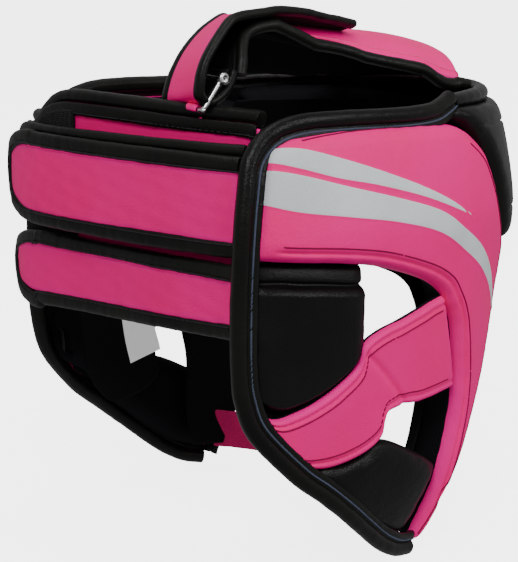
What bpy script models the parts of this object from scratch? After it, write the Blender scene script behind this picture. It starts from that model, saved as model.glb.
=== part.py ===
import math

import bpy
import numpy as np
from mathutils import Vector

# Sizes in metres. Heights are counted up from the chin tips until a piece is placed.
HEIGHT = 0.207  # chin tips to the top rim
FRONT_REACH = 0.123  # middle of the head to the forehead's face
BACK_REACH = 0.120  # the same to the round that the side panels follow at the back
HALF_WIDTH = 0.096  # middle of the head to a side panel's outer face
ROUNDNESS = 2.5  # power of the plan's curve, 2 being an ellipse
SIDE_PAD = 0.022  # padding of the side panels
FOREHEAD_PAD = 0.022
EAR_PAD = 0.016
EAR_BAND = 0.006
JAW_PAD = 0.014
BACK_PAD = 0.009
LINING = 0.0015
EAR_RECESS = 0.003  # how far the ear and jaw pieces lie under the side panel's face
PINCH = 0.009  # width of the rounding along a padded piece's edge
THIN_EDGE = 0.36  # share of the padding left at its edge
EDGE_DROP = 0.003  # how far a padded piece's face falls towards its edge
BAND_PINCH = 0.003  # the same rounding and fall on the thin ear bands
BAND_DROP = 0.001
EDGE_DEPTH = 0.0040  # rolled edge's middle below the panels' face
RIM_DEPTH = 0.0060
EDGE_TUBE = 0.0042  # radius of the rolled edge round a side panel
RIM_TUBE = 0.0030
STRAP_TUBE = 0.0026
GAP = 0.0003  # between pieces that touch
BACK_WALL_HEIGHT = 0.0866
BACK_WALL_LENGTH = 0.133  # straight line from the overlap to the far corner
BACK_WALL_FOOT = 0.535  # its lower edge, a share of HEIGHT
BACK_START = (-0.042, 0.050)  # forward and right of the head's middle
BACK_HEADING = -106.0  # degrees from straight ahead, to the right
BACK_STRAP_LENGTH = 0.1395
STRAP_START = (-0.0649, 0.0700)
STRAP_HEADING = -102.4
STRAP_THICK = 0.0035
STRAP_ROUND = 0.012  # radius of a rear strap's corners
CROWN_RISE = 0.040  # top rim to the crown flap's crest
FLAP_LENGTH = 0.165  # forehead rim to where the flap turns down
FLAP_HALF = 0.040  # half the flap's width at the forehead
FLAP_THICK = 0.007
CROWN_STRAP_HALF = 0.0105
CROWN_STRAP_THICK = 0.0026
RING_HALF = 0.0189
RING_RISE = 0.017
RING_WIRE = 0.0011
TAB_HALF = 0.0125
TAB_THICK = 0.0012
CHIN_STRAP_WIDTH = 0.020
CHIN_STRAP_THICK = 0.003
SEAT_FORWARD = 0.010  # the head seat's place ahead of the head's middle
REAR_FLAP_THICK = 0.0025
REAR_FLAP_FOOT = 0.745  # shares of HEIGHT
REAR_FLAP_HEAD = 0.905
FLAP_TUBE = 0.0022
CROWN_TUBE = 0.0028
WALL_SLANT = 0.008
EDGE_STEP = CROWN_TUBE + 3 * GAP  # crown flap's edge to the middle of its rolled edge
CROWN_STRAP_TUBE = 0.0022
RING_BACK = -0.0500  # the ring's lower bar, behind the head's middle
RING_TOP_BACK = -0.0450
RING_FOOT = -0.003
RING_MIDDLE = 0.50  # right of the head's middle, a share of FLAP_HALF
TAB_DROP = 0.018
TAB_SET = 0.0027  # from the ring's bar back to the wall's inner face
PATCH_THICK = 0.0015
PATCH_FROM = 17  # first of the back wall's 26 places that the loop patch covers
PATCH_MARGIN = 0.006
LABEL_THICK = 0.0008
CHIN_FORWARD = 0.031
CHIN_HALF = 0.0592
CHIN_LEVEL = 0.048  # its lower edge, a share of HEIGHT
CHIN_BOW = 0.019

SHELL = (
    # height, front, back, side: shares of HEIGHT, FRONT_REACH, BACK_REACH, HALF_WIDTH
    (-0.05, 0.53, 0.83, 0.83),
    (0.00, 0.58, 0.89, 0.87),
    (0.03, 0.62, 0.91, 0.895),
    (0.10, 0.69, 0.95, 0.937),
    (0.18, 0.765, 0.97, 0.969),
    (0.28, 0.84, 0.99, 0.979),
    (0.52, 0.90, 1.00, 1.00),
    (0.60, 0.945, 1.00, 1.00),
    (0.66, 0.985, 1.00, 1.00),
    (0.75, 1.00, 0.99, 1.00),
    (0.855, 0.985, 0.975, 0.958),
    (0.947, 0.96, 0.94, 0.896),
    (1.00, 0.92, 0.92, 0.85),
    (1.05, 0.88, 0.90, 0.80),
)
SIDE_RUNGS = (
    # outer turn and height, inner turn and height: degrees from the face's middle, shares of HEIGHT
    (127.0, 0.925, 129.6, 0.712),
    (120.0, 0.951, 121.0, 0.702),
    (105.0, 0.959, 109.0, 0.690),
    (88.0, 0.955, 97.0, 0.672),
    (72.0, 0.950, 87.0, 0.648),
    (61.0, 0.938, 79.5, 0.625),
    (54.0, 0.893, 75.0, 0.605),
    (51.0, 0.838, 72.0, 0.585),
    (48.6, 0.768, 70.0, 0.560),
    (44.6, 0.690, 68.2, 0.535),
    (43.5, 0.610, 66.4, 0.500),
    (45.0, 0.520, 65.0, 0.450),
    (48.5, 0.400, 63.4, 0.370),
    (52.5, 0.290, 63.6, 0.290),
    (57.0, 0.180, 66.0, 0.200),
    (61.5, 0.100, 68.5, 0.110),
    (68.0, -0.004, 73.5, 0.012),
)
FOREHEAD_RUNGS = (
    # half turn, height
    (43.0, 0.655),
    (44.6, 0.700),
    (48.1, 0.770),
    (50.4, 0.840),
    (53.3, 0.896),
    (57.5, 0.932),
    (61.0, 0.955),
    (60.0, 0.976),
)
EAR_PAD_RUNGS = (
    # head turn and height, foot turn and height
    (129.6, 0.702, 129.2, 0.413),
    (124.0, 0.700, 123.6, 0.398),
    (118.0, 0.692, 118.2, 0.410),
    (112.4, 0.686, 112.6, 0.432),
    (106.4, 0.680, 106.4, 0.458),
    (100.6, 0.673, 101.4, 0.486),
)
EAR_BAND_RUNGS = (
    # upper turn and height, lower turn and height
    (128.2, 0.398, 120.8, 0.296),
    (123.7, 0.385, 115.5, 0.269),
    (114.7, 0.408, 108.6, 0.262),
    (108.0, 0.436, 99.5, 0.276),
    (102.2, 0.470, 93.5, 0.300),
    (100.0, 0.512, 92.2, 0.334),
    (95.0, 0.534, 90.6, 0.354),
    (88.0, 0.548, 85.0, 0.360),
    (81.5, 0.562, 79.0, 0.358),
    (76.0, 0.574, 72.0, 0.362),
    (71.3, 0.580, 64.6, 0.366),
)
JAW_PAD_RUNGS = (
    (111.5, 0.262, 116.1, 0.257),
    (105.0, 0.262, 110.1, 0.209),
    (98.5, 0.272, 103.1, 0.157),
    (91.0, 0.288, 95.6, 0.107),
    (78.0, 0.240, 87.3, 0.060),
    (66.8, 0.185, 77.3, 0.030),
)
REAR_EDGE = (
    # turn, height
    (59.0, 0.998),
    (63.0, 0.990),
    (69.0, 0.980),
    (78.0, 0.978),
    (90.0, 0.981),
    (105.0, 0.984),
    (118.0, 0.982),
    (126.0, 0.962),
    (130.4, 0.915),
    (131.4, 0.840),
    (132.2, 0.740),
    (132.8, 0.620),
    (132.8, 0.500),
    (132.0, 0.430),
    (129.0, 0.354),
    (119.6, 0.257),
    (112.0, 0.200),
    (104.5, 0.143),
    (97.0, 0.087),
    (89.6, 0.039),
    (82.3, 0.006),
    (74.6, -0.006),
)
FOREHEAD_RIM = (
    # turn, height
    (0.0, 0.993),
    (20.0, 0.993),
    (40.0, 0.992),
    (57.6, 0.990),
)
BACK_PATH = (
    # along, depth: shares of BACK_WALL_LENGTH from the overlap towards the far corner
    (-0.046, 0.000),
    (0.00, 0.000),
    (0.20, -0.010),
    (0.40, -0.018),
    (0.60, -0.030),
    (0.75, -0.012),
    (0.86, 0.014),
    (0.92, 0.042),
)
BACK_TOP = (
    # share of the path's length, height above the wall's foot as a share of BACK_WALL_HEIGHT
    (0.00, 0.985),
    (0.30, 1.000),
    (0.62, 1.030),
    (0.76, 1.000),
    (0.88, 0.910),
    (1.00, 0.900),
)
STRAP_PATH = (
    # along, depth: shares of BACK_STRAP_LENGTH from the near side's edge
    (0.00, 0.000),
    (0.10, -0.020),
    (0.30, -0.034),
    (0.50, -0.036),
    (0.70, -0.030),
    (0.85, -0.012),
    (0.95, 0.018),
    (1.00, 0.050),
)
FLAP_LINE = (
    # forward, crest, edge drop, half width, sideways, bow of the row: shares of FLAP_LENGTH, CROWN_RISE,
    # CROWN_RISE, FLAP_HALF, FLAP_HALF, FLAP_LENGTH
    (0.620, -0.050, 0.00, 0.98, 0.00, 0.052),
    (0.655, 0.260, 0.24, 0.98, 0.00, 0.110),
    (0.630, 0.360, 0.33, 0.97, 0.00, 0.105),
    (0.560, 0.440, 0.36, 0.95, 0.00, 0.085),
    (0.450, 0.525, 0.29, 0.90, 0.00, 0.050),
    (0.300, 0.605, 0.18, 0.80, 0.01, 0.020),
    (0.160, 0.680, 0.09, 0.68, 0.03, 0.000),
    (0.050, 0.730, 0.05, 0.58, 0.06, 0.000),
    (-0.060, 0.745, 0.02, 0.50, 0.10, 0.000),
    (-0.130, 0.725, 0.01, 0.44, 0.15, 0.000),
    (-0.180, 0.640, 0.00, 0.38, 0.22, 0.000),
    (-0.205, 0.520, 0.00, 0.34, 0.32, 0.000),
    (-0.222, 0.370, 0.00, 0.32, 0.42, 0.000),
    (-0.234, 0.220, 0.00, 0.31, 0.47, 0.000),
)
STRAP_LINE = (
    # forward, height, sideways: shares of FLAP_LENGTH, CROWN_RISE, FLAP_HALF
    (-0.240, 0.160, 0.48),
    (-0.256, 0.115, 0.50),
    (-0.284, 0.092, 0.51),
    (-0.312, 0.112, 0.51),
    (-0.326, 0.190, 0.50),
    (-0.322, 0.340, 0.48),
    (-0.292, 0.500, 0.45),
    (-0.250, 0.630, 0.41),
    (-0.195, 0.780, 0.36),
    (-0.130, 0.835, 0.30),
    (-0.060, 0.840, 0.23),
    (0.050, 0.805, 0.16),
    (0.160, 0.755, 0.10),
    (0.285, 0.665, 0.06),
)
FLAP_HANG = (
    # forward, how far the left edge hangs: shares of FLAP_LENGTH and CROWN_RISE
    (-0.250, 0.00),
    (-0.220, 0.15),
    (-0.180, 0.38),
    (-0.130, 0.52),
    (-0.060, 0.56),
    (0.050, 0.56),
    (0.160, 0.50),
    (0.300, 0.38),
    (0.450, 0.20),
    (0.560, 0.08),
    (0.630, 0.03),
    (0.660, 0.00),
)
RING_OUTLINE = (
    # across and up: shares of RING_HALF and RING_RISE
    (-0.88, 0.00),
    (0.88, 0.00),
    (0.97, 0.04),
    (1.00, 0.12),
    (1.00, 0.88),
    (0.97, 0.96),
    (0.88, 1.00),
    (-0.88, 1.00),
    (-0.97, 0.96),
    (-1.00, 0.88),
    (-1.00, 0.12),
    (-0.97, 0.04),
)
LABEL_RUNGS = (
    (104.0, 0.540, 117.3, 0.525),
    (102.5, 0.420, 116.0, 0.405),
    (100.5, 0.350, 114.0, 0.330),
)


def smooth(table, count):
    """Points evenly spread along a rounded line through the table's rows."""
    rows = np.array(table, float)
    padded = np.vstack([2 * rows[0] - rows[1], rows, 2 * rows[-1] - rows[-2]])
    fine = []
    for i in range(len(rows) - 1):
        a, b, c, d = padded[i : i + 4]
        for t in np.linspace(0, 1, 12, endpoint=False):
            fine.append(
                0.5 * (2 * b + (c - a) * t + (2 * a - 5 * b + 4 * c - d) * t**2 + (3 * b - a - 3 * c + d) * t**3)
            )
    fine.append(rows[-1])
    fine = np.array(fine)
    share = np.linspace(0, len(fine) - 1, count)
    low = np.minimum(share.astype(int), len(fine) - 2)
    part = (share - low)[:, None]
    return fine[low] * (1 - part) + fine[low + 1] * part


def base_point(turn, height):
    """The head form's outer face: forward, right and up at a turn in degrees and a share of HEIGHT."""
    shares = [row[0] for row in SHELL]
    front, back, side = (
        np.interp(height, shares, [row[k] for row in SHELL]) for k in (1, 2, 3)
    )
    angle = math.radians(turn)
    reach = FRONT_REACH * front if abs(turn) < 90 else BACK_REACH * back
    forward = abs(math.cos(angle) / reach) ** ROUNDNESS
    across = abs(math.sin(angle) / (HALF_WIDTH * side)) ** ROUNDNESS
    radius = (forward + across) ** (-1 / ROUNDNESS)
    return np.array([radius * math.cos(angle), radius * math.sin(angle), HEIGHT * height])


def shell_point(turn, height, offset):
    """The place so far outside the head form's face, along its normal."""
    round_it = base_point(turn + 0.5, height) - base_point(turn - 0.5, height)
    up_it = base_point(turn, height + 0.03) - base_point(turn, height - 0.03)
    normal = np.cross(round_it, up_it)
    return placed(*(base_point(turn, height) + normal * offset / np.linalg.norm(normal)))


def placed(forward, right, up):
    """Row frame: the wearer faces -Y, the wearer's right is -X, and the head seat is the origin."""
    return (-right, SEAT_FORWARD - forward, up - SEAT_UP)


def own_material(obj, rgb, rough, metal=0.0):
    material = bpy.data.materials.new(obj.name)
    material.use_nodes = True
    shader = material.node_tree.nodes["Principled BSDF"]
    shader.inputs["Base Color"].default_value = (*rgb, 1)
    shader.inputs["Roughness"].default_value = rough
    shader.inputs["Metallic"].default_value = metal
    obj.data.materials.append(material)
    return obj


def grid_object(name, rows):
    """An open surface with one vertex at each place of a table of places."""
    across = len(rows[0])
    faces = [
        (i * across + j, i * across + j + 1, (i + 1) * across + j + 1, (i + 1) * across + j)
        for i in range(len(rows) - 1)
        for j in range(across - 1)
    ]
    mesh = bpy.data.meshes.new(name)
    mesh.from_pydata([place for row in rows for place in row], [], faces)
    middle = Vector((0, SEAT_FORWARD, 0))
    lean = sum(face.area * face.normal.dot(face.center - middle) for face in mesh.polygons)
    if lean < 0:
        mesh.flip_normals()
    obj = bpy.data.objects.new(name, mesh)
    GUARD.objects.link(obj)
    return obj


def thicken(obj, thickness, weights=None, inward=True):
    """Solidify with an even wall, thinner towards its edges where weights are given."""
    solid = obj.modifiers.new("wall", "SOLIDIFY")
    solid.thickness = thickness
    solid.offset = -1 if inward else 1
    solid.use_even_offset = False
    if weights is not None:
        group = obj.vertex_groups.new(name="padding")
        for index, weight in enumerate(weights):
            group.add([index], float(weight), "REPLACE")
        solid.vertex_group = "padding"
        solid.thickness_vertex_group = THIN_EDGE
    return obj


def padded_piece(name, rungs, thickness, out, columns, rows, side=1, pinch=PINCH, drop=EDGE_DROP):
    """A padded panel on the head form between the two ends of each rung, rounded along its edges."""
    rungs = smooth(rungs, columns)
    places = []
    weights = []
    shares = np.linspace(0, 1, rows)
    span = HALF_WIDTH * math.pi / 180
    for i, (outer_turn, outer_height, inner_turn, inner_height) in enumerate(rungs):
        ends = abs(outer_turn - inner_turn) * span, abs(outer_height - inner_height) * HEIGHT
        length = math.hypot(*ends)
        before, after = rungs[max(i - 1, 0)], rungs[min(i + 1, columns - 1)]
        step = 0.5 * math.hypot((after[0] - before[0]) * span, (after[1] - before[1]) * HEIGHT)
        line = []
        for share in shares:
            near = min(share, 1 - share) * length
            near = min(near, min(i, columns - 1 - i) * max(step, 0.001))
            full = 1 - (1 - min(near / pinch, 1)) ** 2
            turn = outer_turn + (inner_turn - outer_turn) * share
            height = outer_height + (inner_height - outer_height) * share
            x, y, z = shell_point(turn, height, out - drop * (1 - full))
            line.append((x * side, y, z))
            weights.append(full)
        places.append(line)
    obj = grid_object(name, places)
    return thicken(obj, thickness, weights)


def thin_piece(name, rungs, thickness, out, columns, rows, side=1):
    """A sheet on the head form, such as a lining."""
    rungs = smooth(rungs, columns)
    places = []
    for outer_turn, outer_height, inner_turn, inner_height in rungs:
        line = []
        for share in np.linspace(0.04, 0.96, rows):
            turn = outer_turn + (inner_turn - outer_turn) * share
            height = outer_height + (inner_height - outer_height) * share
            x, y, z = shell_point(turn, height, out)
            line.append((x * side, y, z))
        places.append(line)
    obj = grid_object(name, places)
    return thicken(obj, thickness)


def tube(name, lines, radius, sides=6, cyclic=False):
    """A rolled edge or wire along one or more lines of places."""
    curve = bpy.data.curves.new(name, "CURVE")
    curve.dimensions = "3D"
    curve.bevel_depth = radius
    curve.bevel_resolution = (sides - 4) // 2
    curve.use_fill_caps = not cyclic
    for line in lines:
        spline = curve.splines.new("POLY")
        spline.points.add(len(line) - 1)
        for point, place in zip(spline.points, line):
            point.co = (*place, 1)
        spline.use_cyclic_u = cyclic
    obj = bpy.data.objects.new(name, curve)
    GUARD.objects.link(obj)
    return obj


def plan_path(table, length, start, heading, count):
    """A line in plan from its start, each row so far along the heading and so far inwards of it."""
    points = smooth(table, count) * length
    along = np.array([math.cos(heading), math.sin(heading)])
    inward = np.array([-along[1], along[0]])
    return np.array([start + p[0] * along + p[1] * inward for p in points])


def beside(path, distance):
    """The plan path moved inwards by the distance, or outwards by a negative one."""
    ahead = np.gradient(path, axis=0)
    inward = np.stack([-ahead[:, 1], ahead[:, 0]], 1)
    return path + inward * distance / np.hypot(*ahead.T)[:, None]


def strap_edge(path, low, high, radius, out):
    """A line round a strap's upper edge, rounded tip and lower edge, so far outside them."""
    steps = np.concatenate([[0], np.cumsum(np.hypot(*np.diff(path, axis=0).T))])
    length = steps[-1]
    runs = [(run, head + out) for run, head in zip(steps, high) if run < length - radius]
    for turn in range(90, -1, -15):
        angle = math.radians(turn)
        runs.append(
            (
                length - radius + (radius + out) * math.cos(angle),
                high[-1] - radius + (radius + out) * math.sin(angle),
            )
        )
    for turn in range(0, -91, -15):
        angle = math.radians(turn)
        runs.append(
            (
                length - radius + (radius + out) * math.cos(angle),
                low[-1] + radius + (radius + out) * math.sin(angle),
            )
        )
    runs += [(run, foot - out) for run, foot in zip(steps, low) if run < length - radius][::-1]
    last = (path[-1] - path[-2]) / (steps[-1] - steps[-2])
    line = []
    for run, level in runs:
        beyond = max(run - length, 0)
        forward = np.interp(run, steps, path[:, 0]) + last[0] * beyond
        right = np.interp(run, steps, path[:, 1]) + last[1] * beyond
        line.append(placed(forward, right, level))
    return line


def wall_along(name, path, low, high, thickness, rows, ends=(0, 0), slant=0):
    """An upright sheet along a plan path between two heights, its corners rounded at the ends given.
    Its start slants: the foot reaches further by the length given."""
    steps = np.concatenate([[0], np.cumsum(np.hypot(*np.diff(path, axis=0).T))])
    places = []
    for place, run, foot, head in zip(path, steps, low, high):
        cut = 0
        for radius, reach in ((ends[0], run), (ends[1], steps[-1] - run)):
            if radius and reach < radius:
                cut = radius - math.sqrt(max(radius**2 - (radius - reach) ** 2, 0))
        levels = np.linspace(foot + cut, head - cut, rows)
        places.append([placed(place[0], place[1], level) for level in levels])
    back = slant * (path[0] - path[1]) / steps[1]
    for k, share in enumerate(np.linspace(1, 0, rows)):
        places[0][k] = placed(*(path[0] + back * share), np.linspace(low[0], high[0], rows)[k])
    return thicken(grid_object(name, places), thickness, inward=False)


# Fixed places that several pieces share.
CREST_SHARE = float(np.interp(SEAT_FORWARD, [r[0] * FLAP_LENGTH for r in reversed(FLAP_LINE[1:9])],
                              [r[1] for r in reversed(FLAP_LINE[1:9])]))
SEAT_UP = HEIGHT + CROWN_RISE * CREST_SHARE - FLAP_THICK

for old in list(bpy.data.objects):
    bpy.data.objects.remove(old)
for old in list(bpy.data.collections):
    bpy.data.collections.remove(old)
GUARD = bpy.data.collections.new("sparring_head_guard")
bpy.context.scene.collection.children.link(GUARD)
bpy.context.scene.unit_settings.system = "METRIC"

PINK = (0.92, 0.012, 0.19)
BLACK = (0.012, 0.012, 0.011)
CLOTH = (0.010, 0.011, 0.016)

sides = (("right", 1), ("left", -1))
for label, side in sides:
    own_material(
        padded_piece("side_panel_" + label, SIDE_RUNGS, SIDE_PAD, 0, 30, 6, side), PINK, 0.35
    )
    own_material(
        thin_piece("side_lining_" + label, SIDE_RUNGS, LINING, -SIDE_PAD - 2 * GAP, 18, 4, side), CLOTH, 0.9
    )
    own_material(
        padded_piece("ear_pad_" + label, EAR_PAD_RUNGS, EAR_PAD, -EAR_RECESS, 8, 8, side), BLACK, 0.4
    )
    own_material(
        padded_piece("ear_band_" + label, EAR_BAND_RUNGS, EAR_BAND, -EAR_RECESS, 16, 5, side, BAND_PINCH, BAND_DROP),
        PINK,
        0.4,
    )
    own_material(
        padded_piece("jaw_pad_" + label, JAW_PAD_RUNGS, JAW_PAD, -EAR_RECESS, 9, 6, side), BLACK, 0.4
    )

front_rungs = [(turn, height, -turn, height) for turn, height in FOREHEAD_RUNGS]
own_material(padded_piece("forehead_pad", front_rungs, FOREHEAD_PAD, 0, 13, 15), BLACK, 0.4)
own_material(
    thin_piece("forehead_lining", front_rungs, LINING, -FOREHEAD_PAD - 2 * GAP, 9, 11), CLOTH, 0.9
)

for label, side in sides:
    line = [
        (x * side, y, z)
        for x, y, z in (
            shell_point(turn, height, -EDGE_DEPTH) for turn, height in smooth(REAR_EDGE, 45)
        )
    ]
    own_material(tube("edge_binding_" + label, [line], EDGE_TUBE), BLACK, 0.4)
right_half = [shell_point(turn, height, -RIM_DEPTH) for turn, height in smooth(FOREHEAD_RIM, 12)]
left_half = [(-x, y, z) for x, y, z in right_half[:0:-1]]
own_material(tube("forehead_rim_binding", [left_half + right_half], RIM_TUBE), BLACK, 0.4)

# Back wall: it lies under the near side's rear edge and turns the far corner.
back_start = np.array(BACK_START)
back_heading = math.radians(BACK_HEADING)
back_path = plan_path(BACK_PATH, BACK_WALL_LENGTH, back_start, back_heading, 26)
wall_foot = HEIGHT * BACK_WALL_FOOT
top_shares = np.interp(
    np.linspace(0, 1, len(back_path)), [r[0] for r in BACK_TOP], [r[1] for r in BACK_TOP]
)
wall_top = wall_foot + BACK_WALL_HEIGHT * top_shares
own_material(
    wall_along("back_panel", back_path, wall_foot + 0 * wall_top, wall_top, BACK_PAD, 4, slant=WALL_SLANT), PINK, 0.4
)
back_edge = [
    placed(p[0], p[1], top + RIM_TUBE + 3 * GAP)
    for p, top in zip(beside(back_path, -BACK_PAD / 2), wall_top)
]
own_material(tube("back_binding", [back_edge], RIM_TUBE), BLACK, 0.4)

patch_path = beside(back_path, -BACK_PAD - GAP)[PATCH_FROM:]
patch_top = wall_top[PATCH_FROM:] - PATCH_MARGIN
own_material(
    wall_along("loop_patch", patch_path, 0 * patch_top + wall_foot + PATCH_MARGIN, patch_top, PATCH_THICK, 3),
    BLACK,
    0.95,
)

# Rear straps: sewn at the near side's rear edge and drawn across the back to the far corner.
strap_start = np.array(STRAP_START)
strap_heading = math.radians(STRAP_HEADING)
STRAP_LEVELS = (
    # name, foot and head at the root, foot and head at the tip: shares of HEIGHT,
    # further start and closer tip: shares of BACK_STRAP_LENGTH
    ("rear_strap_upper", 0.735, 0.880, 0.740, 0.890, 0.000, 0.000),
    ("rear_strap_lower", 0.574, 0.668, 0.533, 0.656, 0.035, 0.071),
)
strap_path = plan_path(STRAP_PATH, BACK_STRAP_LENGTH, strap_start, strap_heading, 16)
reach = np.linspace(0, 1, len(strap_path))
for name, foot, head, tip_foot, tip_head, further, closer in STRAP_LEVELS:
    rows = [(along * (1 + 0.85 * closer), depth + closer * min(along / 0.6, 1)) for along, depth in STRAP_PATH]
    rows[0] = (-further, -0.70 * further)
    own_path = plan_path(rows, BACK_STRAP_LENGTH, strap_start, strap_heading, 16)
    low = HEIGHT * (foot + (tip_foot - foot) * reach)
    high = HEIGHT * (head + (tip_head - head) * reach)
    own_material(
        wall_along(name, own_path, low, high, STRAP_THICK, 4, (0, STRAP_ROUND)), PINK, 0.35
    )
    middle = beside(own_path, -STRAP_THICK / 2)
    line = strap_edge(middle, low, high, STRAP_ROUND, STRAP_TUBE + 2 * GAP)
    own_material(tube(name + "_binding", [line], STRAP_TUBE), BLACK, 0.4)

# Rear flap: the bound layer that the upper strap closes over.
flap_path = beside(strap_path, STRAP_TUBE + FLAP_TUBE - 2 * GAP)
low = HEIGHT * np.full(len(flap_path), REAR_FLAP_FOOT)
high = HEIGHT * np.full(len(flap_path), REAR_FLAP_HEAD)
own_material(
    wall_along("rear_flap", flap_path, low, high, REAR_FLAP_THICK, 3, (0, STRAP_ROUND)), BLACK, 0.4
)
middle = beside(flap_path, -REAR_FLAP_THICK / 2)
line = strap_edge(middle, low, high, STRAP_ROUND, FLAP_TUBE + GAP)
own_material(tube("rear_flap_binding", [line], FLAP_TUBE), BLACK, 0.4)

# Crown flap, from inside the forehead's rim over the crown and down to the ring.
places = []
weights = []
edges = ([], [])
lines = smooth(FLAP_LINE, 27)
across = np.linspace(-1, 1, 7)
for i, (forward, crest, drop, half, lean, bow) in enumerate(lines):
    half *= FLAP_HALF
    hang = np.interp(forward, [r[0] for r in FLAP_HANG], [r[1] for r in FLAP_HANG])
    row = []
    for c in list(across) + [-1 - EDGE_STEP / half, 1 + EDGE_STEP / half]:
        row.append(
            placed(
                FLAP_LENGTH * (forward - bow * c * c),
                FLAP_HALF * lean + half * c,
                HEIGHT + CROWN_RISE * (crest - drop * c * c - hang * max(-c, 0) ** 1.4),
            )
        )
    places.append(row[:7])
    for edge, place in zip(edges, row[7:]):
        edge.append(place)
    near = np.minimum((1 - abs(across)) * half, i * FLAP_LENGTH / len(lines))
    weights.extend(1 - (1 - np.minimum(near / PINCH, 1)) ** 2)
own_material(thicken(grid_object("crown_flap", places), FLAP_THICK, weights), PINK, 0.35)
for label, edge in zip(("left", "right"), edges):
    own_material(tube("crown_flap_binding_" + label, [edge], CROWN_TUBE), BLACK, 0.4)

# Crown strap: through the ring, back over itself and along the flap to its free end.
places = []
lines = smooth(STRAP_LINE, 28)
near_edge = []
far_edge = []
for forward, rise, lean in lines:
    middle = FLAP_HALF * lean
    side_by = CROWN_STRAP_HALF + CROWN_STRAP_TUBE + GAP
    row = [
        placed(FLAP_LENGTH * forward, middle + c, HEIGHT + CROWN_RISE * rise)
        for c in (-side_by, -CROWN_STRAP_HALF, 0, CROWN_STRAP_HALF, side_by)
    ]
    far_edge.append(row[0])
    near_edge.append(row[4])
    places.append(row[1:4])
strap = thicken(grid_object("crown_strap", places), CROWN_STRAP_THICK, inward=False)
own_material(strap, PINK, 0.35)
for label, edge in (("left", far_edge), ("right", near_edge)):
    own_material(tube("crown_strap_binding_" + label, [edge], CROWN_STRAP_TUBE), BLACK, 0.4)

# Ring and the tab that holds it: both follow the back wall's slant.
ring_middle = FLAP_HALF * RING_MIDDLE
slant = np.array([math.cos(back_heading), math.sin(back_heading)])


def by_ring(across, forward, up):
    return placed(forward - slant[0] * across, ring_middle - slant[1] * across, HEIGHT + up)


ring_line = [
    by_ring(
        RING_HALF * across_share,
        RING_BACK + (RING_TOP_BACK - RING_BACK) * up_share,
        RING_FOOT + RING_RISE * up_share,
    )
    for across_share, up_share in RING_OUTLINE
]
own_material(tube("strap_ring", [ring_line], RING_WIRE, 8, True), (0.55, 0.55, 0.56), 0.25, 1.0)

tab_round = RING_WIRE + 2 * GAP
tab_line = [(tab_round - TAB_SET, -TAB_DROP), (tab_round - TAB_SET, -TAB_DROP * 0.45)]
for turn in range(0, 211, 30):
    angle = math.radians(turn)
    tab_line.append((tab_round * math.cos(angle), tab_round * math.sin(angle)))
places = [
    [by_ring(c * TAB_HALF, RING_BACK + forward, RING_FOOT + up) for c in (-1, 0, 1)]
    for forward, up in tab_line
]
own_material(thicken(grid_object("ring_tab", places), TAB_THICK, inward=True), PINK, 0.4)

own_material(
    thin_piece("care_label", LABEL_RUNGS, LABEL_THICK, -EAR_RECESS - EAR_PAD - 2 * GAP, 6, 4, -1),
    (0.85, 0.85, 0.85),
    0.8,
)

# Chin strap: an upright band between the two cheek columns, bowed forward.
across = np.linspace(-1, 1, 17)
chin_path = np.stack([CHIN_FORWARD + CHIN_BOW * (1 - across**2), CHIN_HALF * across], 1)
low = np.full(len(across), HEIGHT * CHIN_LEVEL)
own_material(
    wall_along("chin_strap", chin_path, low, low + CHIN_STRAP_WIDTH, CHIN_STRAP_THICK, 3), PINK, 0.5
)
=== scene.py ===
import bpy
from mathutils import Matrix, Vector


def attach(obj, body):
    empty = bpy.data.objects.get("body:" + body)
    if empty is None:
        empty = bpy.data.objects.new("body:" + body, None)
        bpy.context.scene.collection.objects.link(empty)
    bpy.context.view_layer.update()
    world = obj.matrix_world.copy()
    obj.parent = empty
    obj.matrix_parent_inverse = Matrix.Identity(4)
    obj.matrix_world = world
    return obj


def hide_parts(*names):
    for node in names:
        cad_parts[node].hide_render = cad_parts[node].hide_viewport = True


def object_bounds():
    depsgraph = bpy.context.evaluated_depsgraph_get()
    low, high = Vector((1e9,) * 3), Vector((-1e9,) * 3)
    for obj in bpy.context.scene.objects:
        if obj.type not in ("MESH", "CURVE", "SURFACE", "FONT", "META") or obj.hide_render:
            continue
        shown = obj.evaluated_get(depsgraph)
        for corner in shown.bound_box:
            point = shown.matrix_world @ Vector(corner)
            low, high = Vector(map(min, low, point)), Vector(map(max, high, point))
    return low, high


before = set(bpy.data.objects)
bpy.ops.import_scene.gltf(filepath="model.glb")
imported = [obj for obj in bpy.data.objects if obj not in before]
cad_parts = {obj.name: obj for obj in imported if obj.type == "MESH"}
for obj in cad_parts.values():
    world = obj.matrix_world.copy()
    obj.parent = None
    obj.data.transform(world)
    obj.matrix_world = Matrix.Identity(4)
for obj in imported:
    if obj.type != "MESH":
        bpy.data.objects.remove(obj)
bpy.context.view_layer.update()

import math

import bpy
import numpy as np
from mathutils import Vector

# the head form that the padded pieces lie on, in metres and shares of them
form = {
    "height": 0.207,  # chin tips to the top rim
    "frontReach": 0.123,
    "backReach": 0.120,
    "halfWidth": 0.096,
    "roundness": 2.5,
    "seatForward": 0.010,
    "seatUp": 0.229007,
    "shares": (
        # height, then reach to the front, reach to the back and half width
        (-0.05, 0.53, 0.83, 0.83), (0.00, 0.58, 0.89, 0.87), (0.03, 0.62, 0.91, 0.895),
        (0.10, 0.69, 0.95, 0.937), (0.18, 0.765, 0.97, 0.969), (0.28, 0.84, 0.99, 0.979),
        (0.52, 0.90, 1.00, 1.00), (0.60, 0.945, 1.00, 1.00), (0.66, 0.985, 1.00, 1.00),
        (0.75, 1.00, 0.99, 1.00), (0.855, 0.985, 0.975, 0.958), (0.947, 0.96, 0.94, 0.896),
        (1.00, 0.92, 0.92, 0.85), (1.05, 0.88, 0.90, 0.80),
    ),
}


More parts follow.
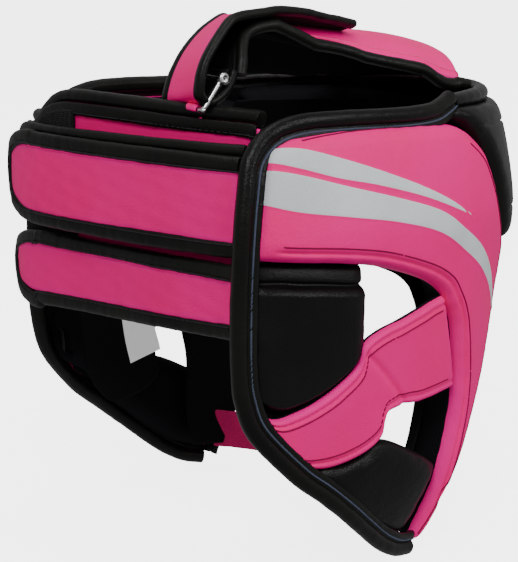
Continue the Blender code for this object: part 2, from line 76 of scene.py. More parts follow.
def roundedLine(table, shares):
    # a cubic through the table's rows: at each row its slope is half the step between the neighbours
    rows = np.array(table, float)
    padded = np.vstack([2 * rows[0] - rows[1], rows, 2 * rows[-1] - rows[-2]])
    place = np.clip(np.asarray(shares, float), 0, 1) * (len(rows) - 1)
    low = np.minimum(place.astype(int), len(rows) - 2)
    t = (place - low)[..., None]
    a, b, c, d = (padded[low + k] for k in range(4))
    return 0.5 * (2 * b + (c - a) * t + (2 * a - 5 * b + 4 * c - d) * t**2 + (3 * b - a - 3 * c + d) * t**3)


def lineThrough(table, count):
    return roundedLine(table, np.linspace(0, 1, count))


def spread(count, bunch=0.0):
    # shares from 0 to 1, closer together at both ends the larger bunch is
    t = np.linspace(0, 1, count)
    return (1 - bunch) * t + bunch * (1 - np.cos(math.pi * t)) / 2


def unit(vectors):
    return vectors / np.maximum(np.linalg.norm(vectors, axis=-1, keepdims=True), 1e-12)


def softStep(value, low, high):
    t = np.clip((value - low) / (high - low), 0, 1)
    return t * t * (3 - 2 * t)


def ripple(points, size, seed):
    # even waves of about that size in six fixed directions, added up and shared out
    draw = np.random.default_rng(seed)
    ways = unit(draw.normal(size=(6, 3))) * (2 * math.pi / (size * draw.uniform(0.7, 1.5, (6, 1))))
    return np.sin(points @ ways.T + draw.uniform(0, 6.28, 6)).sum(-1) / 3


def inRow(places, side=1):
    # forward, right, up of the head's middle to the row frame, mirrored for the left side
    return np.stack([-places[..., 1] * side, form["seatForward"] - places[..., 0],
                     places[..., 2] - form["seatUp"]], -1)


formTable = lineThrough(form["shares"], 240)


def formPoint(turn, height):
    # in plan an oval with flattened sides: (forward / reach)^p + (right / half width)^p = 1, its reach and
    # width changing with the height
    turn, height = np.broadcast_arrays(np.asarray(turn, float), np.asarray(height, float))
    front, back, wide = (np.interp(height, formTable[:, 0], formTable[:, k]) for k in (1, 2, 3))
    angle = np.radians(turn)
    power = form["roundness"]
    reach = np.where(np.abs(turn) < 90, form["frontReach"] * front, form["backReach"] * back)
    width = form["halfWidth"] * wide
    radius = (np.abs(np.cos(angle) / reach) ** power + np.abs(np.sin(angle) / width) ** power) ** (-1 / power)
    return np.stack([radius * np.cos(angle), radius * np.sin(angle), form["height"] * height], -1)


def onForm(turn, height, out=0.0, side=1):
    # the form's point moved out along the normal, and that normal: round step x upward step
    roundIt = formPoint(turn + 0.5, height) - formPoint(turn - 0.5, height)
    upIt = formPoint(turn, height + 0.03) - formPoint(turn, height - 0.03)
    normal = unit(np.cross(roundIt, upIt))
    place = formPoint(turn, height) + normal * np.asarray(out, float)[..., None]
    return inRow(place, side), np.stack([-normal[..., 1] * side, -normal[..., 0], normal[..., 2]], -1)


def gridNormals(points, middle=(0.0, 0.01, -0.11)):
    # cross product of the two grid directions, turned away from the middle of the head
    normal = unit(np.cross(np.gradient(points, axis=0), np.gradient(points, axis=1)))
    lean = ((points - np.array(middle)) * normal).sum()
    return normal if lean > 0 else -normal


def runLengths(points, axis):
    step = np.linalg.norm(np.diff(points, axis=axis), axis=-1)
    start = np.zeros(points.shape[:-1])
    if axis == 0:
        start[1:] = np.cumsum(step, 0)
        return start, start[-1:] - start
    start[:, 1:] = np.cumsum(step, 1)
    return start, start[:, -1:] - start


def gridFaces(rows, columns, closed=False):
    i = np.arange(rows - 1)[:, None]
    j = np.arange(columns if closed else columns - 1)[None, :]
    after = (j + 1) % columns
    corners = [i * columns + j, i * columns + after, (i + 1) * columns + after, (i + 1) * columns + j]
    return np.stack(np.broadcast_arrays(*corners), -1).reshape(-1, 4)


def endCaps(rows, sides):
    # fans from two middle points, numbered after all the rings, to the first and the last ring
    ring = np.arange(sides)
    after = np.roll(ring, -1)
    last = (rows - 1) * sides
    first = np.stack([np.full(sides, rows * sides), after, ring], 1)
    return np.concatenate([first, np.stack([np.full(sides, rows * sides + 1), last + ring, last + after], 1)])


def meshPiece(name, points, quads, triangles=None, finishes=(), finishOf=None, uv=None, values=None):
    # a closed mesh from arrays; its faces are turned outwards by the sign of its volume
    points = np.asarray(points, float)
    if triangles is None:
        triangles = np.zeros((0, 3), int)
    fans = np.concatenate([quads[:, [0, 1, 2]], quads[:, [0, 2, 3]], triangles])
    a, b, c = (points[fans[:, k]] - points.mean(0) for k in range(3))
    if (a * np.cross(b, c)).sum() < 0:
        quads, triangles = quads[:, ::-1], triangles[:, ::-1]
    mesh = bpy.data.meshes.new(name)
    mesh.from_pydata(points.tolist(), [], quads.tolist() + triangles.tolist())
    for finish in finishes:
        mesh.materials.append(finish)
    if finishOf is not None:
        mesh.polygons.foreach_set("material_index", np.asarray(finishOf, np.int32))
    mesh.polygons.foreach_set("use_smooth", np.ones(len(mesh.polygons), bool))
    corner = np.zeros(len(mesh.loops), np.int32)
    mesh.loops.foreach_get("vertex_index", corner)
    if uv is not None:
        layer = mesh.uv_layers.new(name="UVMap")
        layer.data.foreach_set("uv", np.asarray(uv, np.float32)[corner].ravel())
    for key, value in (values or {}).items():
        attribute = mesh.attributes.new(key, "FLOAT", "POINT")
        attribute.data.foreach_set("value", np.asarray(value, np.float32).ravel())
    mesh.update()
    piece = bpy.data.objects.new(name, mesh)
    bpy.context.scene.collection.objects.link(piece)
    return piece


def dressed(piece, nodes=()):
    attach(piece, "root")
    if nodes:
        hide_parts(*nodes)
    return piece


def padShell(name, face, normal, pad, finishNames, relief=0.0, innerRelief=0.0, values=None):
    # outer face: the grid less drop * (1 - s) and less a quarter round at the borders; inner face: the
    # padding times (thin + (1 - thin) * s) below it; s = 1 - (1 - distance / pinch)^2 for both directions
    rows, columns = face.shape[:2]
    alongStart, alongEnd = runLengths(face, 0)
    acrossStart, acrossEnd = runLengths(face, 1)
    along = np.minimum(alongStart, alongEnd)
    across = np.minimum(acrossStart, acrossEnd)
    near = np.minimum(along, across)
    full = 1.0
    for distance in (across, along):
        full = full * (1 - (1 - np.minimum(distance / pad["pinch"], 1)) ** 2)
    edge = pad["edgeRound"]
    short = np.hypot(np.maximum(edge - across, 0), np.maximum(edge - along, 0))
    rounding = edge - np.sqrt(np.maximum(edge**2 - np.minimum(short, edge) ** 2, 0))
    thin = pad["thinEdge"]
    sunk = pad["drop"] * (1 - full)
    deep = sunk + pad["padding"] * (thin + (1 - thin) * full)
    deep = np.maximum(deep, sunk + 2 * edge + 0.0002) if pad.get("keepRound", True) else deep
    outerDepth = sunk + rounding - relief
    innerDepth = np.maximum(deep - rounding + innerRelief, outerDepth + np.minimum(near, 0.0010) + 0.0001)
    outer = face - normal * outerDepth[..., None]
    inner = face - normal * innerDepth[..., None]
    count = rows * columns
    front = gridFaces(rows, columns)
    grid = np.arange(count).reshape(rows, columns)
    ring = np.concatenate([grid[0, :-1], grid[:-1, -1], grid[-1, :0:-1], grid[:0:-1, 0]])
    following = np.roll(ring, -1)
    band = np.stack([following, ring, ring + count, following + count], 1)
    quads = np.concatenate([front, front[:, ::-1] + count, band])
    finishOf = np.concatenate([np.zeros(len(front)), np.ones(len(front) + len(band))])
    uv = np.stack([alongStart, acrossStart], -1).reshape(-1, 2) * 10
    kept = {"edge": np.concatenate([near.ravel(), near.ravel()])}
    for key, value in (values or {}).items():
        kept[key] = np.concatenate([value.ravel(), np.full(count, -1.0)])
    points = np.concatenate([outer.reshape(-1, 3), inner.reshape(-1, 3)])
    if len(finishNames) == 1:
        finishOf[:] = 0
    chosen = [finishes[key] for key in finishNames]
    return meshPiece(name, points, quads, None, chosen, finishOf, np.concatenate([uv, uv]), kept), outer


def swollen(piece, look):
    # the cover blown up a little over its foam: a coarse copy swells as cloth under pressure, and the fine
    # mesh takes up the movement of its nearest six points, scaled so that almost none passes the cap
    scene = bpy.context.scene
    copy = bpy.data.objects.new("swelling", piece.data.copy())
    scene.collection.objects.link(copy)
    remesh = copy.modifiers.new("even", "REMESH")
    remesh.mode = "VOXEL"
    remesh.voxel_size = look["voxel"]
    coarse = bpy.data.meshes.new_from_object(copy.evaluated_get(bpy.context.evaluated_depsgraph_get()))
    copy.modifiers.clear()
    copy.data = coarse
    cloth = copy.modifiers.new("cover", "CLOTH")
    cloth.settings.mass = 0.3
    cloth.settings.tension_stiffness = look["stiff"]
    cloth.settings.compression_stiffness = look["stiff"]
    cloth.settings.shear_stiffness = look["stiff"]
    cloth.settings.bending_stiffness = look["bend"]
    cloth.settings.use_pressure = True
    cloth.settings.uniform_pressure_force = look["pressure"]
    cloth.settings.effector_weights.gravity = 0
    cloth.point_cache.frame_end = look["frames"]
    rest = np.zeros(len(coarse.vertices) * 3)
    coarse.vertices.foreach_get("co", rest)
    for frameNumber in range(1, look["frames"] + 1):
        scene.frame_set(frameNumber)
    end = copy.evaluated_get(bpy.context.evaluated_depsgraph_get()).to_mesh()
    swelled = np.zeros(len(end.vertices) * 3)
    end.vertices.foreach_get("co", swelled)
    rest, swelled = rest.reshape(-1, 3), swelled.reshape(-1, 3)
    move = swelled - rest
    size = np.percentile(np.linalg.norm(move, axis=1), 95)
    move = move * min(1.0, look["cap"] / max(size, 1e-9))
    points = np.zeros(len(piece.data.vertices) * 3)
    piece.data.vertices.foreach_get("co", points)
    points = points.reshape(-1, 3)
    taken = []
    for part in np.array_split(points, max(len(points) // 3000, 1)):
        apart = (part**2).sum(1)[:, None] + (rest**2).sum(1)[None] - 2 * part @ rest.T
        six = np.argpartition(apart, 6, axis=1)[:, :6]
        weight = 1 / (np.take_along_axis(apart, six, 1) + 1e-6)
        taken.append((move[six] * weight[..., None]).sum(1) / weight.sum(1, keepdims=True))
    taken = np.concatenate(taken)
    taken[len(taken) // 2 :] *= look["innerShare"]
    piece.data.vertices.foreach_set("co", (points + taken).ravel())
    piece.data.update()
    scene.frame_set(1)
    bpy.data.objects.remove(copy)
    print("swollen:", piece.name, len(rest), "points,", round(size * 1000, 2), "mm before the cap")


swelling = {"voxel": 0.0050, "stiff": 12.0, "bend": 2.0, "pressure": 4.0, "frames": 20, "cap": 0.0016,
            "innerShare": 0.2}


def foam(padding, edgeRound):
    # a foam pad, pinched at its sewn edges
    return {"padding": padding, "thinEdge": 0.36, "pinch": 0.009, "drop": 0.003, "edgeRound": edgeRound}


def sheet(thick, pinch, edgeRound):
    # a cloth as thick at its edges as in the middle
    return {"padding": thick, "thinEdge": 1.0, "pinch": pinch, "drop": 0.0, "edgeRound": edgeRound,
            "keepRound": False}


def lineAt(outer, normal, distance, at, keep):
    # where the distance passes that value on each row of the grid, between its two nearest columns
    rising = distance[:, -1].mean() > distance[:, 0].mean()
    if not rising:
        outer, normal, distance = outer[:, ::-1], normal[:, ::-1], distance[:, ::-1]
    row = np.arange(len(outer))
    high = np.clip((distance >= at).argmax(1), 1, distance.shape[1] - 1)
    low = high - 1
    part = np.clip((at - distance[row, low]) / np.maximum(distance[row, high] - distance[row, low], 1e-9),
                   0, 1)[:, None]
    line = outer[row, low] * (1 - part) + outer[row, high] * part
    return line[keep], normal[row, low][keep]


def evenPath(points, spacing):
    # the path's points moved so that they lie evenly along it, a whole number of steps near the spacing
    run = np.concatenate([[0], np.cumsum(np.linalg.norm(np.diff(points, axis=0), axis=1))])
    where = np.linspace(0, run[-1], max(int(run[-1] / spacing), 2) + 1)
    return np.stack([np.interp(where, run, points[:, k]) for k in range(points.shape[1])], 1), where


def pathFrames(points, outward):
    ahead = unit(np.gradient(points, axis=0))
    across = unit(np.cross(ahead, outward))
    return ahead, across, np.cross(across, ahead)


def rolledEdge(name, points, outward, roll, finishName="binding", closed=False):
    # an oval section carried along the path: out by cos, across by sin, swelling and shrinking a little
    # as a sewn roll does, its ends rounded by a quarter circle
    both, run = evenPath(np.concatenate([points, outward], 1), roll.get("spacing", 0.0012))
    points, outward = both[:, :3], unit(both[:, 3:])
    ahead, across, out = pathFrames(points, outward)
    tall, wide = roll["tall"], roll["wide"]
    sides = roll.get("sides", 18)
    turn = np.linspace(0, 2 * math.pi, sides, endpoint=False)
    end = np.ones(len(run)) if closed else np.minimum(np.minimum(run, run[-1] - run) / min(tall, wide), 1)
    size = np.sqrt(np.maximum(1 - (1 - end) ** 2, 0.02))
    pucker = roll.get("pucker", 0.05)
    swell = 1 + 0.35 * pucker * ripple(points, 0.007, 3) + 0.8 * pucker * ripple(points, 0.040, 4)
    size = (size * swell)[:, None]
    power = roll.get("square", 1.0)
    cosine = np.sign(np.cos(turn)) * np.abs(np.cos(turn)) ** power
    sine = np.sign(np.sin(turn)) * np.abs(np.sin(turn)) ** power
    shape = points[:, None] + out[:, None] * (cosine * tall * size)[..., None]
    shape = shape + across[:, None] * ((sine * wide) * size)[..., None]
    rows = len(points)
    quads = gridFaces(rows, sides, True)
    flat = shape.reshape(-1, 3)
    ends = np.stack([shape[0].mean(0), shape[-1].mean(0)])
    uv = np.stack(np.broadcast_arrays(run[:, None] * 10, turn[None] * tall * 10), -1).reshape(-1, 2)
    uv = np.concatenate([uv, uv[:1], uv[-1:]])
    away = np.broadcast_to(np.cos(turn)[None] * tall, (rows, sides)).ravel()
    values = {"edge": np.concatenate([away, [0, 0]])}
    return meshPiece(name, np.concatenate([flat, ends]), quads, endCaps(rows, sides),
                     (finishes[finishName],), None, uv, values)


def stitchRow(name, paths, stitch, finishName):
    # one short thread for each step: a round bar with thinner ends whose middle stands a little higher
    sides, rings = 6, 5
    turn = np.linspace(0, 2 * math.pi, sides, endpoint=False)
    along = np.array([-0.5, -0.42, 0.0, 0.42, 0.5])
    thick = np.array([0.35, 0.85, 1.0, 0.85, 0.35])
    bar = np.stack([
        np.repeat(along * stitch["length"], sides),
        np.outer(thick, np.cos(turn)).ravel() * stitch["radius"],
        np.outer(thick, np.sin(turn)).ravel() * stitch["radius"]
        + np.repeat((0.25 - along**2) * 0.2 * stitch["length"], sides),
    ], 1)
    bar = np.concatenate([bar, np.array([[-1, 0, 0], [1, 0, 0]]) * 0.52 * stitch["length"]])
    quads = gridFaces(rings, sides, True)
    caps = endCaps(rings, sides)
    allPoints, allQuads, allCaps, count = [], [], [], 0
    for points, outward in paths:
        both = evenPath(np.concatenate([points, outward], 1), stitch["length"] + stitch["space"])[0]
        ahead, across, out = pathFrames(both[:, :3], unit(both[:, 3:]))
        slant = stitch.get("slant", 0.0)
        ahead, across = unit(ahead + across * slant), unit(across - ahead * slant)
        placed = (both[:, None, :3] + ahead[:, None] * bar[None, :, :1] + across[:, None] * bar[None, :, 1:2]
                  + out[:, None] * bar[None, :, 2:])
        offsets = (count + np.arange(len(both)) * len(bar))[:, None, None]
        allPoints.append(placed.reshape(-1, 3))
        allQuads.append((quads[None] + offsets).reshape(-1, 4))
        allCaps.append((caps[None] + offsets).reshape(-1, 3))
        count += placed.shape[0] * len(bar)
    return meshPiece(name, np.concatenate(allPoints), np.concatenate(allQuads), np.concatenate(allCaps),
                     (finishes[finishName],))


# the threads: the panels' and the bindings', with their own length and gap
panelThread = {"length": 0.0019, "space": 0.0013, "radius": 0.00028}
edgeThread = {"length": 0.0021, "space": 0.0011, "radius": 0.00025}
weltThread = dict(edgeThread, radius=0.00032, slant=0.25)


# materials: each is built from the same few nodes
def newFinish(name):
    finish = bpy.data.materials.new(name)
    finish.use_nodes = True
    return finish, finish.node_tree, finish.node_tree.nodes["Principled BSDF"]


def addNode(tree, kind, inputs=None, **facts):
    made = tree.nodes.new(kind)
    for key, value in facts.items():
        setattr(made, key, value)
    for key, value in (inputs or {}).items():
        if isinstance(value, bpy.types.NodeSocket):
            tree.links.new(value, made.inputs[key])
        else:
            made.inputs[key].default_value = value
    return made


def mixColours(tree, share, first, second):
    mix = addNode(tree, "ShaderNodeMix", data_type="RGBA")
    for socket, value in ((mix.inputs[0], share), (mix.inputs[6], first), (mix.inputs[7], second)):
        if isinstance(value, bpy.types.NodeSocket):
            tree.links.new(value, socket)
        else:
            socket.default_value = value
    return mix.outputs[2]


def ramp(tree, value, low, high, lowOut=0.0, highOut=1.0):
    spans = {"Value": value, "From Min": low, "From Max": high, "To Min": lowOut, "To Max": highOut}
    return addNode(tree, "ShaderNodeMapRange", spans, interpolation_type="SMOOTHSTEP").outputs["Result"]


def attributeValue(tree, name):
    return addNode(tree, "ShaderNodeAttribute", attribute_name=name).outputs["Fac"]


def noise(tree, place, scale, detail, **more):
    inputs = {"Vector": place, "Scale": scale, "Detail": detail, **more}
    return addNode(tree, "ShaderNodeTexNoise", inputs).outputs["Fac"]


def bumped(tree, height, strength, distance, **more):
    inputs = {"Height": height, "Strength": strength, "Distance": distance, **more}
    return addNode(tree, "ShaderNodeBump", inputs).outputs["Normal"]


def vinylFinish(name, look):
    # grain: small round cells with finer noise on them; colour and gloss drift in large patches, the
    # rolled edges are painted a little paler, partly as wear and partly as a painted highlight where the
    # rolls catch the light, and faint creases run through the surface
    finish, tree, shader = newFinish(name)
    place = addNode(tree, "ShaderNodeTexCoord").outputs["Object"]
    patches = noise(tree, place, 22.0, 4.0)
    fine = noise(tree, place, 900.0, 3.0)
    cells = addNode(tree, "ShaderNodeTexVoronoi",
                    {"Vector": place, "Scale": look["grain"]}).outputs["Distance"]
    colour = mixColours(tree, ramp(tree, patches, 0.3, 0.7), (*look["deep"], 1), (*look["colour"], 1))
    # painted highlight and wear: paler colour towards the borders of pads and on rolls, broken up in patches
    wearAndHighlight = ramp(tree, attributeValue(tree, "edge"), look["wearAndHighlightWidth"], 0.0, 0.0, look["wearAndHighlight"])
    wearAndHighlightPatches = addNode(tree, "ShaderNodeMath", {0: wearAndHighlight, 1: ramp(tree, patches, 0.25, 0.6, 0.5, 1.0)},
                    operation="MULTIPLY")
    colour = mixColours(tree, wearAndHighlightPatches.outputs[0], colour, (*look["pale"], 1))
    if "stripe" in look:
        mask = ramp(tree, attributeValue(tree, "stripe"), -0.00012, 0.00012)
        foil = mixColours(tree, ramp(tree, patches, 0.35, 0.65), (*look["stripeDeep"], 1),
                          (*look["stripe"], 1))
        colour = mixColours(tree, mask, colour, foil)
    tree.links.new(colour, shader.inputs["Base Color"])
    rough = ramp(tree, patches, 0.3, 0.7, look["rough"] - 0.05, look["rough"] + 0.06)
    tree.links.new(rough, shader.inputs["Roughness"])
    shader.inputs["Specular IOR Level"].default_value = look.get("specular", 0.5)
    shader.inputs["Coat Weight"].default_value = look.get("coat", 0.1)
    shader.inputs["Coat Roughness"].default_value = 0.35
    height = addNode(tree, "ShaderNodeMath", {0: cells, 1: fine}, operation="ADD").outputs[0]
    grain = bumped(tree, height, look["bump"], 0.00025)
    crease = noise(tree, place, 130.0, 5.0, Distortion=0.6)
    tree.links.new(bumped(tree, crease, look["crease"], 0.0009, Normal=grain), shader.inputs["Normal"])
    return finish


def clothFinish(name, look):
    # weave: the product of two sets of fine waves along and across the cloth's own UV, with noise between;
    # a glow stands in for light that reaches a pale cloth inside the dark guard
    finish, tree, shader = newFinish(name)
    place = addNode(tree, "ShaderNodeTexCoord")
    waves = {"Vector": place.outputs["UV"], "Scale": look["threads"], "Distortion": 0.6, "Detail": 1.0}
    warp, weft = (addNode(tree, "ShaderNodeTexWave", waves, bands_direction=way) for way in "XY")
    cross = addNode(tree, "ShaderNodeMath", {0: warp.outputs["Fac"], 1: weft.outputs["Fac"]},
                    operation="MULTIPLY")
    lint = noise(tree, place.outputs["Object"], look["lint"], 6.0, Roughness=0.7)
    colour = mixColours(tree, ramp(tree, lint, 0.35, 0.75), (*look["deep"], 1), (*look["colour"], 1))
    colour = mixColours(tree, ramp(tree, cross.outputs[0], 0.0, 0.8, 0.0, 0.5), colour, (*look["pale"], 1))
    tree.links.new(colour, shader.inputs["Base Color"])
    shader.inputs["Roughness"].default_value = look["rough"]
    shader.inputs["Sheen Weight"].default_value = look.get("sheen", 0.02)
    if "glow" in look:
        shader.inputs["Emission Color"].default_value = (1, 1, 1, 1)
        shader.inputs["Emission Strength"].default_value = look["glow"]
    shader.inputs["Specular IOR Level"].default_value = 0.12
    height = addNode(tree, "ShaderNodeMath", {0: cross.outputs[0], 1: lint}, operation="ADD").outputs[0]
    tree.links.new(bumped(tree, height, look["bump"], look["pile"]), shader.inputs["Normal"])
    return finish


def steelFinish(name):
    # drawn wire: bright metal with faint noise in its gloss and a little dulling in patches
    finish, tree, shader = newFinish(name)
    place = addNode(tree, "ShaderNodeTexCoord").outputs["Object"]
    dull = noise(tree, place, 300.0, 4.0)
    tree.links.new(mixColours(tree, dull, (0.46, 0.46, 0.47, 1), (0.78, 0.78, 0.79, 1)),
                   shader.inputs["Base Color"])
    shader.inputs["Metallic"].default_value = 1.0
    tree.links.new(ramp(tree, dull, 0.2, 0.8, 0.16, 0.34), shader.inputs["Roughness"])
    tree.links.new(bumped(tree, dull, 0.15, 0.0001), shader.inputs["Normal"])
    return finish


# in these looks the pale edge colour and its share stand partly for wear and partly for a painted highlight
# on the lit rolled edges
pinkLook = {
    "colour": (1.0, 0.0, 0.245), "deep": (0.96, 0.0, 0.200), "pale": (1.0, 0.012, 0.340), "wearAndHighlight": 0.55,
    "wearAndHighlightWidth": 0.0045, "rough": 0.46, "grain": 1500.0, "bump": 0.28, "crease": 0.22, "coat": 0.0,
    "specular": 0.12,
}
stripeLook = dict(pinkLook, stripe=(0.70, 0.74, 0.76), stripeDeep=(0.60, 0.64, 0.66))
blackLook = {
    "colour": (0.0040, 0.0042, 0.0036), "deep": (0.0020, 0.0022, 0.0020), "pale": (0.010, 0.011, 0.009),
    "wearAndHighlight": 0.5, "wearAndHighlightWidth": 0.004, "rough": 0.40, "grain": 1400.0, "bump": 0.35, "crease": 0.30,
    "coat": 0.0, "specular": 0.17,
}
bindingLook = dict(blackLook, colour=(0.0050, 0.0052, 0.0036), rough=0.36, crease=0.35)
labelLook = {
    "colour": (0.80, 0.80, 0.78), "deep": (0.70, 0.70, 0.69), "pale": (0.86, 0.86, 0.85),
    "threads": 110.0, "lint": 900.0, "rough": 0.7, "bump": 0.3, "pile": 0.0002, "glow": 0.30,
}
finishes = {
    "pink": vinylFinish("pinkVinyl", pinkLook),
    "striped": vinylFinish("stripedVinyl", stripeLook),
    "black": vinylFinish("blackVinyl", blackLook),
    "binding": vinylFinish("blackBinding", bindingLook),
    "lining": clothFinish("liningCloth", {
        "colour": (0.0040, 0.0042, 0.0058), "deep": (0.0020, 0.0022, 0.0034),
        "pale": (0.0075, 0.0078, 0.0100),
        "threads": 60.0, "lint": 700.0, "rough": 0.9, "bump": 0.5, "pile": 0.0003}),
    "loops": clothFinish("loopPile", {
        "colour": (0.0065, 0.0065, 0.0070), "deep": (0.0020, 0.0020, 0.0022),
        "pale": (0.0110, 0.0110, 0.0115),
        "threads": 35.0, "lint": 1600.0, "rough": 0.97, "bump": 1.0, "pile": 0.0008, "sheen": 0.08}),
    "label": clothFinish("labelWeave", labelLook),
    "web": clothFinish("pinkWebbing", {
        "colour": (0.80, 0.012, 0.170), "deep": (0.62, 0.006, 0.120), "pale": (0.92, 0.05, 0.26),
        "threads": 55.0, "lint": 800.0, "rough": 0.75, "bump": 0.6, "pile": 0.0004}),
    "steel": steelFinish("ringSteel"),
}
threadLook = {"threads": 40.0, "lint": 2500.0, "rough": 0.6, "bump": 0.2, "pile": 0.0001}
for name, look in {
    "darkThread": {"colour": (0.030, 0.030, 0.034), "deep": (0.016, 0.016, 0.020),
                   "pale": (0.050, 0.050, 0.056)},
    "blueThread": {"colour": (0.085, 0.100, 0.150), "deep": (0.050, 0.060, 0.100),
                   "pale": (0.120, 0.140, 0.190)},
    "pinkThread": {"colour": (0.95, 0.110, 0.330), "deep": (0.80, 0.060, 0.240), "pale": (1.0, 0.20, 0.42),
                   "rough": 0.5},
    "wineThread": {"colour": (0.240, 0.010, 0.050), "deep": (0.150, 0.005, 0.030),
                   "pale": (0.32, 0.02, 0.08)},
}.items():
    finishes[name] = clothFinish(name, {**threadLook, **look})
print("finishes:", len(finishes))

sides = (("right", 1), ("left", -1))


def sewn(name, paths, thread, finishName):
    dressed(stitchRow(name, paths, thread, finishName))


def bound(name, points, outward, roll, *nodes):
    dressed(rolledEdge(name, points, outward, roll), nodes)


def rungGrid(rungs, columns, rows, out=0.0, side=1, bunch=0.55, ends=(0.0, 1.0)):
    # each rung of the table is turn and height of two places on the form, which it joins; the grid runs
    # along the rungs and across them
    lines = roundedLine(rungs, spread(columns, 0.25))
    share = (ends[0] + (ends[1] - ends[0]) * spread(rows, bunch))[None, :]
    turn = lines[:, 0:1] + (lines[:, 2:3] - lines[:, 0:1]) * share
    height = lines[:, 1:2] + (lines[:, 3:4] - lines[:, 1:2]) * share
    face, normal = onForm(turn, height, np.full(turn.shape, out), side)
    return face, normal, turn, height


def groove(distance, at, width, deep):
    # a pressed line: a bell curve of that depth and width
    return -deep * np.exp(-(((distance - at) / width) ** 2))


def crumple(face, distance, big, small, seed):
    # soft hollows over the whole piece and short puckers that die out away from the edge
    return big * ripple(face, 0.055, seed) + small * ripple(face, 0.008, seed + 1) * np.exp(-distance / 0.006)


sidePanel = {
    "rungs": (
        (127.0, 0.925, 129.6, 0.712), (120.0, 0.951, 121.0, 0.702), (105.0, 0.959, 109.0, 0.690),
        (88.0, 0.955, 97.0, 0.672), (72.0, 0.950, 87.0, 0.648), (61.0, 0.938, 79.5, 0.625),
        (54.0, 0.893, 75.0, 0.605), (51.0, 0.838, 72.0, 0.585), (48.6, 0.768, 70.0, 0.560),
        (44.6, 0.690, 68.2, 0.535), (43.5, 0.610, 66.4, 0.500), (45.0, 0.520, 65.0, 0.450),
        (48.5, 0.400, 63.4, 0.370), (52.5, 0.290, 63.6, 0.290), (57.0, 0.180, 66.0, 0.200),
        (61.5, 0.100, 68.5, 0.110), (68.0, -0.004, 73.5, 0.012),
    ),
    "shape": foam(0.022, 0.0036),
    "columns": 250, "rows": 84, "seamAt": 0.0048, "seamWidth": 0.0008, "seamDepth": 0.0011,
    # from the rear edge: where each seam and the fold under the upper edge deepen, and where the fold ends
    "lowerSeamFrom": (0.006, 0.014), "upperSeamFrom": (0.10, 0.125), "foldFrom": (0.016, 0.022),
    "foldTo": (0.06, 0.08), "foldAt": 0.0020, "foldSlope": 0.040, "stripeRaise": 0.00022,
    "threadBeyond": 0.0024, "foldThreadBeyond": 0.0022, "foldStitches": (0.018, 0.075),
}
stripes = (
    # turn and height of the upper edge, turn and height of the lower edge
    ((127.9, 0.928, 128.8, 0.906), (119.2, 0.923, 119.5, 0.886), (108.3, 0.899, 109.0, 0.861),
     (96.1, 0.868, 96.7, 0.839), (82.6, 0.828, 83.0, 0.808), (72.2, 0.788, 72.5, 0.776),
     (63.1, 0.742, 63.1, 0.742)),
    ((129.2, 0.891, 129.4, 0.827), (119.6, 0.874, 119.9, 0.804), (106.3, 0.843, 106.8, 0.785),
     (90.2, 0.808, 91.0, 0.761), (76.4, 0.771, 77.0, 0.727), (67.2, 0.723, 66.8, 0.676),
     (57.6, 0.662, 57.4, 0.617), (50.0, 0.570, 50.0, 0.540), (45.5, 0.440, 45.5, 0.440)),
)


def stripeDistance(turn, height):
    # how far inside the nearest stripe a place lies: the lesser of its heights over the lower edge and
    # under the upper edge
    best = np.full(turn.shape, -1.0)
    for stripe in stripes:
        line = lineThrough(stripe, 120)[::-1]
        upper = np.interp(turn, line[:, 0], line[:, 1])
        lower = np.interp(turn, line[:, 2], line[:, 3])
        inside = np.minimum(upper - height, height - lower) * form["height"]
        inside = np.where(turn < line[:, 0].min(), -0.01, inside)
        best = np.maximum(best, inside)
    return best


# the lining reaches further back behind the left cheek column: rungs, and degrees there
liningReach = {"right": ((0, 16), (0.0, 0.0)),
               "left": ((0, 4, 7, 9, 12, 15, 16), (0, 0.5, 12, 20, 23, 17, 11))}

